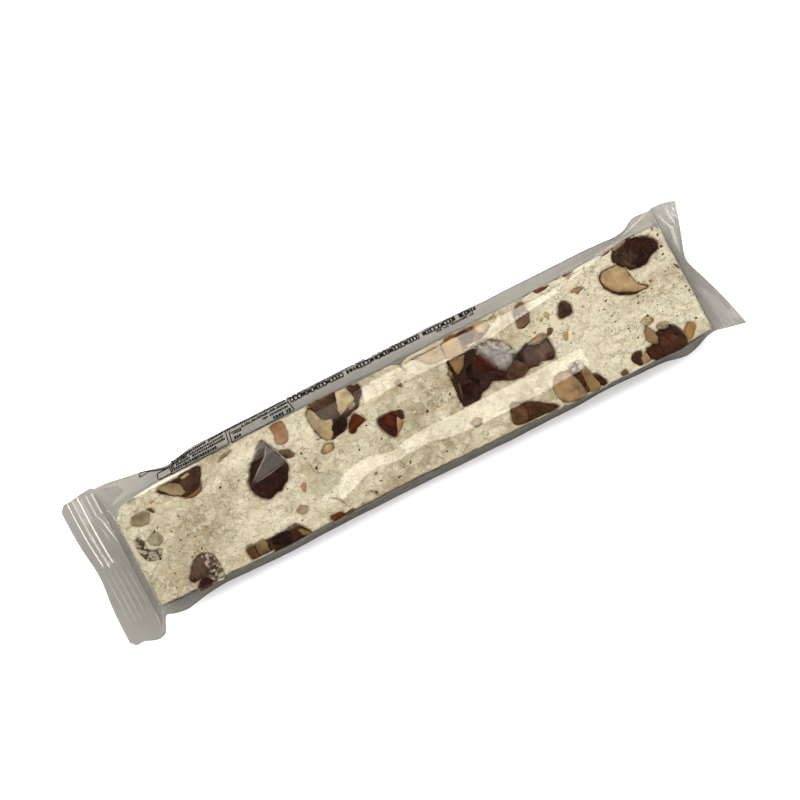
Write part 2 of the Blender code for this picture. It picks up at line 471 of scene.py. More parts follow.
def nougat_material():
    """Cut nougat: cream, mottled, creased and finely pitted; its raised lumps painted lighter and its
    hollows and creases darker as painted light and shade; browned where the stain_and_shade mark says so.
    """
    n = Nodes("nougat")
    grain = n.noise(0.75, 4.0, 0.7)
    fine = n.noise(0.5, 2.0, 0.6)
    lumps_lit_and_shaded = n.noise(1.7, 4.0, 0.6, stretch=(1.0, 0.6, 1.0))
    torn = n.spread(n.noise(3.4, 5.0, 0.62), 0.52, 0.545)
    crease = n.times(n.line(n.noise(4.5, 4.0, 0.6), 0.014), n.spread(n.noise(6.0, 2.0), 0.46, 0.6))
    patchy = n.spread(n.noise(5.0, 2.0), 0.3, 0.6)
    pressed = n.blend(n.spread(fine, 0.3, 0.7), under_film(188, 177, 144), under_film(212, 202, 170))
    colour = n.spread(n.noise(7.0, 2.0), 0.38, 0.62)
    colour = n.blend(colour, under_film(217, 202, 167), under_film(231, 218, 185))
    layers = (
        (n.times(n.mark("pale"), 0.75), under_film(244, 231, 199)),
        (n.times(n.mark("contact"), patchy), under_film(176, 158, 121)),
        (n.mark("warm"), under_film(182, 163, 126)),
        (n.times(torn, 0.42), under_film(244, 234, 206)),
        # lighter on the raised lumps and darker in the hollows of the same noise as the bump: painted light
        # and shade
        (n.spread(lumps_lit_and_shaded, 0.5, 0.74, 0.0, 0.6), under_film(228, 218, 190)),
        (n.spread(lumps_lit_and_shaded, 0.44, 0.28, 0.0, 0.3), under_film(166, 152, 120)),
        (n.spread(grain, 0.56, 0.76, 0.0, 0.24), under_film(150, 138, 108)),
        # the creases painted darker: painted shade
        (n.times(crease, 0.28), under_film(140, 126, 98)),
        # fine light and dark specks, partly the nougat's own and partly painted highlights and shade on its
        # grain
        (n.spread(fine, 0.5, 0.7, 0.0, 0.18), under_film(247, 238, 209)),
        (n.spread(fine, 0.45, 0.3, 0.0, 0.16), under_film(156, 141, 106)),
        (n.times(n.mark("pressed"), 0.7), pressed),
        # brown round the pieces and in the crevices: partly caramel stain, partly painted shade where the
        # nougat meets them
        (n.mark("stain_and_shade"), under_film(112, 84, 54)),
    )
    for share, layer in layers:
        colour = n.blend(share, colour, layer)
    bumps = n.raised(lumps_lit_and_shaded, 1.2)
    bumps = n.raised(n.compute("SUBTRACT", grain, crease), 0.18, bumps)
    bumps = n.raised(torn, 0.16, bumps)
    return n.surface(colour, 0.7, bumps, 0.3, WARM_SHINE)


def cracked(n, colour, size):
    """The colour with cracks about size millimetres apart painted nearly black, as painted shade in them.
    """
    return n.blend(n.times(n.line(n.noise(size, 3.0, 0.6), 0.02), 0.7), colour, under_film(24, 10, 5))


def almond_material():
    """Cut almond flesh and shards: streaked, nearly matt."""
    n = Nodes("almond")
    streaks = n.noise(1.5, 3.0, stretch=(1.0, 0.4, 1.0))
    colour = n.blend(n.spread(streaks, 0.42, 0.7, 0.0, 0.7), n.tint(), (0.84, 0.76, 0.64), "MULTIPLY")
    # its cracks painted darker, as their shade
    crack_shade = n.times(n.line(n.noise(3.2, 3.0, 0.6), 0.012), n.spread(n.noise(2.5, 2.0), 0.45, 0.6))
    colour = n.blend(n.times(crack_shade, 0.6), colour, under_film(96, 66, 40))
    return n.surface(colour, 0.5, n.raised(n.noise(0.8, 3.0), 0.08))


def caramel_material():
    """Caramel: dark, glossy, with painted shade in its cracks, redder where it is thin."""
    n = Nodes("caramel")
    patches = n.noise(2.4, 4.0, 0.6)
    colour = n.blend(n.spread(patches, 0.46, 0.68, 0.0, 0.9), n.tint(), (1.5, 1.3, 1.15), "MULTIPLY")
    dark = n.spread(n.noise(1.1, 3.0), 0.5, 0.72, 0.0, 0.6)
    colour = n.blend(dark, colour, (0.35, 0.3, 0.28), "MULTIPLY")
    colour = cracked(n, colour, 2.6)
    return n.surface(colour, 0.16, n.raised(n.noise(1.1, 4.0, 0.6), 0.55), shine=WARM_SHINE)


def skin_material():
    """Roasted almond skin: dark, wrinkled along its length, with a dull shine."""
    n = Nodes("almond_skin")
    grain = n.noise(1.1, 4.0, 0.6, stretch=(1.0, 0.5, 1.0))
    colour = n.blend(n.spread(grain, 0.46, 0.66, 0.0, 1.0), n.tint(), (2.2, 1.6, 1.3), "MULTIPLY")
    dark = n.spread(n.noise(2.6, 3.0), 0.5, 0.7, 0.0, 0.8)
    colour = n.blend(dark, colour, (0.4, 0.34, 0.3), "MULTIPLY")
    # its cracks painted dark, as their shade
    return n.surface(cracked(n, colour, 2.0), 0.35, n.raised(grain, 0.45), 0.3)


def crumb_material():
    """Small bits and crumbs, each with its own tint."""
    n = Nodes("crumb")
    dark = n.spread(n.noise(0.5, 2.0), 0.4, 0.7, 0.0, 0.7)
    return n.surface(n.blend(dark, n.tint(), (0.5, 0.45, 0.42), "MULTIPLY"), 0.5)


def ink_material():
    """Black print, a little worn."""
    n = Nodes("print_ink")
    worn = n.spread(n.noise(0.9, 3.0), 0.4, 0.7)
    return n.surface(n.blend(worn, (0.004, 0.004, 0.004), (0.014, 0.013, 0.012)), 0.9, specular=0.0)


def floor_material():
    """White paper, hardly uneven."""
    n = Nodes("floor")
    tone = n.blend(n.noise(60.0, 2.0), (0.93, 0.93, 0.93), (0.95, 0.95, 0.95))
    return n.surface(tone, 0.9, specular=0.0)


# ---------------------------------------------------------------- the film


def body_corners(x):
    """The six corners of the pack's section, from the base's near corner round by the far side."""
    near, far = curve(NEAR_OUTLINE, x), curve(FAR_OUTLINE, x)
    near_top, far_top = curve(NEAR_TOP, x), curve(FAR_TOP, x)
    near_base = min(near_top + BASE_SPREAD, near - 0.6)
    far_base = min(far_top + BASE_SPREAD, far - 0.6)
    return np.array([
        (-near_base, 0.0), (far_base, 0.0), (far, BULGE_HEIGHT),
        (far_top, PACK_HEIGHT), (-near_top, PACK_HEIGHT), (-near, BULGE_HEIGHT),
    ])


def fin_corners(near, far):
    """The same six corners for the flat fin, about its own middle height."""
    half, inset = FIN_THICKNESS / 2, 0.3
    return np.array([
        (inset - near, -half), (far - inset, -half), (far, 0.0),
        (far - inset, half), (inset - near, half), (-near, 0.0),
    ])


def rounded(corners, i, cut):
    """The points of a bend that starts and ends a cut away from the corner, on its sides."""
    corner = corners[i]
    sides = corners[i - 1] - corner, corners[(i + 1) % len(corners)] - corner
    start, end = (corner + side * min(cut / np.linalg.norm(side), 0.45) for side in sides)
    t = np.linspace(0, 1, CORNER_POINTS)[:, None]
    return start * (1 - t) ** 2 + corner * 2 * t * (1 - t) + end * t * t


def between(start, end, count):
    """A count of points evenly inside a straight side."""
    t = np.linspace(0, 1, count + 2)[1:-1]
    return start + (end - start) * t[:, None]


def outline(corners, cuts, counts):
    """A closed outline: each corner rounded by its cut, and a count of points on the side after it."""
    bends = [rounded(corners, i, cut) for i, cut in enumerate(cuts)]
    runs = []
    for bend, following, count in zip(bends, bends[1:] + bends[:1], counts):
        runs += [bend, between(bend[-1], following[0], count)]
    return np.concatenate(runs)


def section(corners):
    """The film's outline in (Y, Z): base, far side, top, near side."""
    cuts = EDGE_CUT, EDGE_CUT, BULGE_CUT, EDGE_CUT, EDGE_CUT, BULGE_CUT
    counts = BASE_POINTS, SLOPE_POINTS, SLOPE_POINTS, TOP_POINTS, SLOPE_POINTS, SLOPE_POINTS
    return outline(corners, cuts, counts)


def rib(distance, y, strength):
    """The crimp's ribs, pressed to these strengths from the root out, and less deep at the near half."""
    if not 0 < distance < CRIMP:
        return 0.0
    depth = RIB_HEIGHT * strength[int(distance / RIB_PITCH)] * (0.3 + 0.7 * ramp(0.0, 4.0, y))
    return depth / 2 * (1 - math.cos(2 * math.pi * distance / RIB_PITCH))


def left_fin(distance):
    """The ring at a distance from the left fin's root; its end droops and has a shallow notch."""
    x = LEFT_ROOT - distance
    ring = section(fin_corners(curve(NEAR_OUTLINE, x), curve(FAR_OUTLINE, x)))
    y = ring[:, 0]
    reach = distance / FIN_LENGTH
    z = FIN_HEIGHT + ring[:, 1] + rib(distance, y, LEFT_RIBS) - LEFT_DROOP * reach**2
    out = distance - LEFT_NOTCH * reach * bump(y, 0, 9)
    return np.column_stack([LEFT_ROOT - out, y, z])


def right_fin(distance):
    """The ring at a distance from the right fin's root; the fin stands up, folded about its middle."""
    reach = distance / FIN_LENGTH
    near = RIGHT_NEAR[0] + (RIGHT_NEAR[1] - RIGHT_NEAR[0]) * reach
    far = RIGHT_FAR[0] + (RIGHT_FAR[1] - RIGHT_FAR[0]) * reach**2
    ring = section(fin_corners(near, far))
    y = ring[:, 0]
    off = ring[:, 1] + rib(distance, y, RIGHT_RIBS)
    away = np.sqrt((y - FOLD_Y) ** 2 + FOLD_SOFTNESS**2) - FOLD_SOFTNESS
    cosine = (FOLD_REACH + FOLD_SPREAD * away - FOLD_FLATTEN * away**2) / FIN_LENGTH
    sine = np.sqrt(1 - cosine**2)
    return np.column_stack([
        RIGHT_ROOT + distance * cosine - off * sine, y, FIN_HEIGHT + distance * sine + off * cosine,
    ])


def body(x, root):
    """The pack's ring at x; beyond the bar it closes towards the fin whose root is given."""
    closing = float(np.clip((abs(x) - BAR_HALF) / (abs(root) - BAR_HALF), 0, 1))
    flat = fin_corners(curve(NEAR_OUTLINE, x), curve(FAR_OUTLINE, x)) + (0.0, FIN_HEIGHT)
    corners = body_corners(x) * (1 - closing) + flat * closing
    ring = section(corners)
    return np.column_stack([np.full(len(ring), x), ring])


def film_grid():
    """The film's rings, smooth, before it is wrinkled."""
    ribs = np.arange(RIB_COUNT * RIB_STEPS + 1) * RIB_PITCH / RIB_STEPS
    fin = [*ribs, *np.linspace(CRIMP, FIN_LENGTH, MARGIN_POINTS)[1:]]
    left = np.linspace(LEFT_ROOT, -BAR_HALF, CLOSING_POINTS)[1:-1]
    middle = np.linspace(-BAR_HALF, BAR_HALF, int(2 * BAR_HALF / BODY_STEP) + 1)
    right = np.linspace(BAR_HALF, RIGHT_ROOT, CLOSING_POINTS)[1:-1]
    half = len(middle) // 2
    rings = [left_fin(distance) for distance in reversed(fin)]
    rings += [body(x, LEFT_ROOT) for x in [*left, *middle[:half]]]
    rings += [body(x, RIGHT_ROOT) for x in [*middle[half:], *right]]
    rings += [right_fin(distance) for distance in fin]
    return np.array(rings)


OUTER_TILTS = ((-20.0, 0.016), (18.0, -0.018))  # beyond the bands: Y, and how steeply the film rises


def tilt_to_mirror(y, strip_y):
    """How steeply the film rises with Y where the camera sees this line of the strips in it."""
    return (y + (y - LOOKS_AT[1]) * REACH - strip_y) / (2 * STRIP_ABOVE)


def bands(x, y):
    """The height of the film's undulation, which puts each band's edges at their places."""
    steps = np.linspace(-25, 25, 201)
    edges = []
    for band, strip in ((NEAR_BAND, NEAR_STRIP), (FAR_BAND, FAR_STRIP)):
        stations = np.array(band)
        for side in (0, 1):
            at = float(curve(stations[:, [0, 1 + side]], x))
            edges.append((at, tilt_to_mirror(at, strip[side])))
    at, tilts = np.array([OUTER_TILTS[0], *edges, OUTER_TILTS[1]]).T
    tilt = np.interp(steps, at, tilts)
    height = np.cumsum(tilt) * (steps[1] - steps[0])
    return np.interp(y, steps, height) - np.interp(2.0, steps, height)


def wrinkled(grid):
    """The grid with the film's undulation, pleats and creases, and its haze_and_sheen mark."""
    normal = normals_of(grid)
    x, y, z = grid[..., 0], grid[..., 1], grid[..., 2]
    on_body = ramp(-101.5, -98, x) * ramp(101, 98, x)
    top = on_body * ramp(12.2, 13.2, z)
    flat = np.stack([x, y], axis=-1)
    undulation = np.array([bands(ring[0, 0], ring[:, 1]) for ring in grid])
    off = top * (undulation + 0.0012 * noise(flat, 6, 2, 4))
    # The sides are drawn into long shallow creases.
    side = on_body * ramp(12.9, 11.5, z) * ramp(0.5, 2.0, z)
    drawn = 0.16 * noise(grid * (0.12, 1.0, 1.0), 3.2, 2, 5)
    drawn += 0.25 * noise(grid * (0.5, 0.3, 0.3), 7, 2, 6)
    off += side * drawn
    # Pleats run out of both fins.
    gather = 0.3 * (ramp(-86, -101, x) + ramp(88, 101, x)) * on_body * ramp(0.4, 2.0, z)
    off += gather * noise(grid * (0.25, 1.0, 0.6), 3.0, 2, 7)
    made = grid + normal * off[..., None]
    made[..., 2] = np.maximum(made[..., 2], 0.02)
    # The long seam on the underside is three layers of film, most milky along its two edges.
    seam = 0.10 * ramp(5.6, 5.2, abs(y - 1.0)) + 0.12 * bump(y, 6.4, 0.3) + 0.12 * bump(y, -4.4, 0.3)
    # The right fin is made milky as well: partly its layers, doubled where it stands up, and partly painted
    # light for the light it catches.
    haze_and_sheen = FILM_HAZE + ramp(0.5, 0.1, z) * on_body * seam + 0.045 * ramp(101, 102.5, x)
    return made, haze_and_sheen


def film(grid, haze_and_sheen):
    """The clear film; its shade mark is how much it darkens edge on, less at its two ends."""
    stations, size = grid.shape[:2]
    shade = 0.15 + 0.85 * ramp(101.6, 100.0, grid[..., 0]) - 0.5 * bump(grid[..., 0], -100.6, 1.6)
    made = mesh_object("film", grid.reshape(-1, 3), tube_faces(stations, size), film_material(),
                       marks={"haze_and_sheen": haze_and_sheen.ravel(), "shade": shade.ravel()})
    made.visible_shadow = False
    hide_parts("sealed_pack")


# ---------------------------------------------------------------- on the film: print, and creases with painted highlights

PRINT_LIFT, CREASE_LIFT, FOLD_LIFT = 0.22, 0.12, 0.05  # how far each is drawn over the film


def film_sampler(grid):
    """A function that gives the height of the film's upper side at (x, y)."""
    size = grid.shape[1]
    # A ring starts at its base's near corner, and its upper half at the middle of the far bulge.
    far_edge = CORNER_POINTS + BASE_POINTS + CORNER_POINTS + SLOPE_POINTS + CORNER_POINTS // 2
    upper = grid[:, [(far_edge + i) % size for i in range(size // 2)]][:, ::-1]
    middles = upper[:, :, 0].mean(axis=1)

    def height(x, y):
        near_by = upper[abs(middles - x) < 3.0]
        at = np.array([[np.interp(y, ring[:, 1], ring[:, k]) for k in (0, 2)] for ring in near_by])
        return np.interp(x, at[:, 0], at[:, 1])

    return height


def ribbon(height, line, width, lift, step=0.7, across=2, taper=False):
    """A strip along a line of (x, y) points laid on the film, and how near its middle each point is."""
    line = np.array(line, float)
    lengths = np.concatenate([[0], np.cumsum(np.linalg.norm(np.diff(line, axis=0), axis=1))])
    count = max(2, int(lengths[-1] / step) + 1)
    reach = np.linspace(0, lengths[-1], count)
    middle = np.stack([np.interp(reach, lengths, line[:, k]) for k in (0, 1)], axis=-1)
    way = np.gradient(middle, axis=0)
    side = np.stack([-way[:, 1], way[:, 0]], axis=-1) / np.linalg.norm(way, axis=1)[:, None]
    t = reach / lengths[-1]
    half = width / 2 * (np.sqrt(np.clip(4 * t * (1 - t), 0.02, 1)) if taper else np.ones(count))
    flat = np.concatenate([middle + side * (half * k)[:, None] for k in np.linspace(-1, 1, across)])
    points = np.array([(x, y, height(x, y) + lift) for x, y in flat])
    rows, columns = np.meshgrid(np.arange(across - 1), np.arange(count - 1), indexing="ij")
    a = (rows * count + columns).ravel()
    faces = [(i, i + 1, i + 1 + count, i + count) for i in a]
    over = np.repeat(np.linspace(-1, 1, across), count)
    along = np.sqrt(np.clip(4 * t * (1 - t), 0, 1))
    return points, faces, (1 - over**2) * np.tile(along, across)


# The print, as plain rules, boxes and dashes. Rules: width, then the points of each.
RULES = (
    (0.34, ((-77.0, 18.6), (-56.0, 18.5))), (0.3, ((-55.0, 18.5), (-32.2, 18.5))),
    (0.34, ((-55.9, 18.4), (-55.6, 22.4))), (0.34, ((-54.8, 18.4), (-54.5, 22.4))),
    (0.4, ((-32.1, 18.5), (-33.0, 22.2))), (0.28, ((-54.5, 21.6), (-33.0, 21.7))),
    (0.26, ((-94.0, 17.0), (-91.0, 17.4))),
    (0.36, ((-81.5, 18.9), (-81.4, 21.0), (-77.0, 21.1), (-76.6, 18.8), (-81.5, 18.9))),
    (0.3, ((-87.3, 22.7), (-86.6, 23.9), (-84.6, 23.6), (-84.2, 22.9), (-87.3, 22.7))),
    (0.4, ((-84.4, 23.3), (-81.5, 22.1), (-78.0, 21.2), (-73.0, 21.6), (-68.0, 22.7))),
)
# Rows of dashes: start, end, height of a dash, and how much of the row is ink.
ROWS = (
    ((-76.0, 22.2), (-57.0, 23.1), 0.8, 0.95), ((-56.0, 23.0), (-32.0, 22.9), 0.8, 0.95),
    ((-76.0, 21.4), (-57.0, 21.9), 0.7, 0.9), ((-76.5, 20.6), (-56.8, 20.9), 0.75, 0.9),
    ((-76.5, 19.6), (-60.0, 19.6), 1.0, 0.95), ((-53.6, 21.0), (-51.0, 21.0), 0.7, 0.9),
    ((-53.6, 19.5), (-50.5, 19.5), 1.0, 0.9), ((-50.0, 22.0), (-33.5, 22.0), 0.6, 0.85),
    ((-42.8, 20.7), (-33.8, 20.7), 0.75, 0.9), ((-39.4, 19.3), (-33.6, 19.3), 1.0, 0.85),
    ((-32.0, 21.9), (35.0, 20.5), 1.3, 0.95), ((-31.0, 23.0), (-4.0, 22.6), 0.6, 0.95),
    ((-3.0, 22.5), (12.0, 22.2), 0.4, 0.7), ((20.5, 19.5), (33.5, 19.2), 0.65, 0.85),
)


def film_print(height):
    """The print on the far side of the film; every part is a plain bar or a small box."""
    draw = np.random.default_rng(5)
    parts = [ribbon(height, line, width, PRINT_LIFT, 0.5) for width, line in RULES]
    for start, end, size, ink in ROWS:
        start, end = np.array(start), np.array(end)
        total = np.linalg.norm(end - start)
        way = (end - start) / total
        up = np.array([-way[1], way[0]])
        reach = 0.0
        while reach < total:
            wide = size * draw.uniform(0.5, 0.95)
            low = start + way * reach
            if size > 1 and draw.random() < 0.6:
                a, b = low - up * size / 2, low + up * size / 2
                c, d = b + way * wide, a + way * wide
                parts.append(ribbon(height, (a, b, c, d, a), 0.42, PRINT_LIFT, 0.4))
            else:
                tall = size * draw.uniform(0.8, 1.1)
                parts.append(ribbon(height, (low, low + way * wide), tall, PRINT_LIFT, 0.4))
            reach += wide + size * 0.16 + (size * 0.9 if draw.random() > ink else 0)
    points, faces, _ = merged(parts)
    made = mesh_object("film_print", points, faces, ink_material())


# Creases whose glints are painted as milky strips: width, milkiness, and the line of each.
CREASE_GLINTS = (
    (0.5, 0.11, ((-55.2, 3.3), (-49, 3.9), (-42.2, 4.9))),
    (0.8, 0.12, ((-55.2, 3.6), (-51.5, 6.6), (-47.5, 9.6), (-45.8, 12.2), (-46.2, 15))),
    (0.5, 0.10, ((-60, 8.4), (-54, 10.2), (-47, 11.8))),
    (0.5, 0.10, ((-45, 15.2), (-44.4, 11.5), (-42, 5.4))),
    (1.3, 0.34, ((-94, 17.2), (-89, 17.6), (-84, 17.9), (-76, 17.8), (-66, 17.7))),
    (1.1, 0.2, ((36, 10.2), (45, 11.2), (58, 12.9), (75, 15.6), (88, 18.3))),
    (0.5, 0.2, ((50, 14.4), (62, 15.2), (74, 16.4), (88, 18.4))),
    (0.7, 0.2, ((86, 18.4), (92, 19.8), (97, 21.2), (100.4, 22.0))),
    (0.35, 0.07, ((-10, 13.3), (12, 13.4), (30, 13.2))),
    (0.4, 0.10, ((-33.5, -14.2), (-30, -13.8), (-26.5, -13))),
    (0.7, 0.42, ((-106.4, 18.2), (-105.3, 17.2), (-104.6, 14.8), (-104.1, 11.2), (-103.5, 7))),
    (0.5, 0.3, ((-104.2, 11.2), (-102.4, 11), (-101.7, 9.2))),
    (0.5, 0.25, ((-103.9, 13.2), (-102.7, 14.8))),
    (0.4, 0.2, ((-106.6, 17), (-106.2, 13.5), (-105.2, 5.8))),
    (0.6, 0.2, ((-101.8, 18.3), (-99.8, 16.6))),
    (0.6, 0.25, ((-102.1, -20.8), (-102.3, -22.4), (-103.4, -24.8))),
    (0.8, 0.3, ((-106.9, -19.2), (-106.2, -19.2))), (0.6, 0.2, ((-104.8, -19), (-104.2, -19.1))),
    (0.5, 0.25, ((104.6, 20.8), (105.2, 18), (106, 15.2))), (0.6, 0.3, ((103.2, 14.6), (103.9, 13.4))),
    (0.35, 0.25, ((102.2, 12), (101.6, 8))), (0.35, 0.2, ((103.8, 13), (102.1, 6))),
    (0.9, 0.4, ((101.8, 20.5), (102.6, 17), (103.4, 13.5), (102.4, 9), (101.8, 5))),
    (0.7, 0.35, ((104.6, 20.6), (104.6, 17.6), (104.4, 13.8))),
    (0.6, 0.25, ((106.2, 20), (106.4, 17.6))),
)
# The ribs of the left fin catch the light, and pleats fan out at the root of the right one; their glints
# are painted as milky lines.
PLEATS = 5
CREASE_GLINTS += tuple(
    (0.55, 0.12, ((x - 0.2, 2), (x + 0.1, -9), (x, -21)))
    for x in (-112.4 + RIB_PITCH * k for k in range(RIB_COUNT))
)
CREASE_GLINTS += tuple(
    (0.4, 0.22, ((101.4 + 0.3 * k, -2 - 1.4 * k), (102.6 + 0.6 * k, -12), (104.4 + 0.8 * k, -22)))
    for k in range(PLEATS)
)
# Patches where the film is folded double or lies off what is under it, milky partly for that and partly as
# painted sheen of the film's glare: how milky they are, how far their milkiness fades in from the edge, and
# their corners.
FOLD_SHEENS = (
    (0.05, 0.2,
     ((-55, 3.4), (-51.3, 6.9), (-47.3, 10), (-45.8, 12.6), (-44.3, 10.8), (-43, 7.6), (-42.2, 5))),
    (0.06, 0.5, ((-50.5, 12.2), (-46.5, 14.9), (-45.7, 13.6), (-46.4, 11.9))),
    (0.16, 3.4,
     ((28.4, 10.4), (34, 10), (38.6, 6.5), (41, 2), (38.8, -1.6), (34.4, -3), (31, -0.5), (29, 4),
      (27.6, 7))),
    (0.02, 1.5, ((40.6, 1), (44, 3), (51, 2.5), (51.6, -3), (46, -6), (41, -5))),
)


def film_patch(height, corners, fade, seed):
    """A patch that lies on the film inside the corners, and how much of its milkiness, partly painted
    sheen, each point has.
    """
    ring = loop(corners, 0.15, seed, wobble=0.05)
    where, faces, _ = filled(ring, 0.5)
    share = ramp(0.0, fade, inside_by(where, ring)) ** 1.5
    if fade > 1:
        share = share * np.clip(0.9 + 0.3 * noise(where, 0.9, 3, seed), 0, 2)
    return np.array([(x, y, height(x, y) + FOLD_LIFT) for x, y in where]), faces, share


def creases(height):
    """The creases and folds laid on the film, with the light they catch painted in as milkiness."""
    parts = []
    for width, milk_and_sheen, line in CREASE_GLINTS:
        points, faces, share = ribbon(height, line, width, CREASE_LIFT, 0.4, across=5, taper=True)
        parts.append((points, faces, milk_and_sheen * share))
    for i, (milk_and_sheen, fade, corners) in enumerate(FOLD_SHEENS):
        points, faces, share = film_patch(height, corners, fade, 60 + i)
        parts.append((points, faces, milk_and_sheen * share))
    points, faces, haze_and_sheen = merged(parts)
    made = mesh_object("film_crease_glints", points, faces, crease_material(), marks={"haze_and_sheen": haze_and_sheen})
    made.visible_shadow = False


# ---------------------------------------------------------------- the nougat


def nougat_edges(x):
    """How far the nougat's near and far top edges are from its middle line."""
    far = curve(FAR_TOP, x) - 0.25
    far = far - 2.4 * ramp(-97.0, -99.9, x) ** 1.4 - 1.4 * ramp(97.5, 99.9, x) ** 2
    far = far - 1.1 * bump(x, 5, 1.6)
    near = curve(NEAR_TOP, x) - 0.25
    return near, far


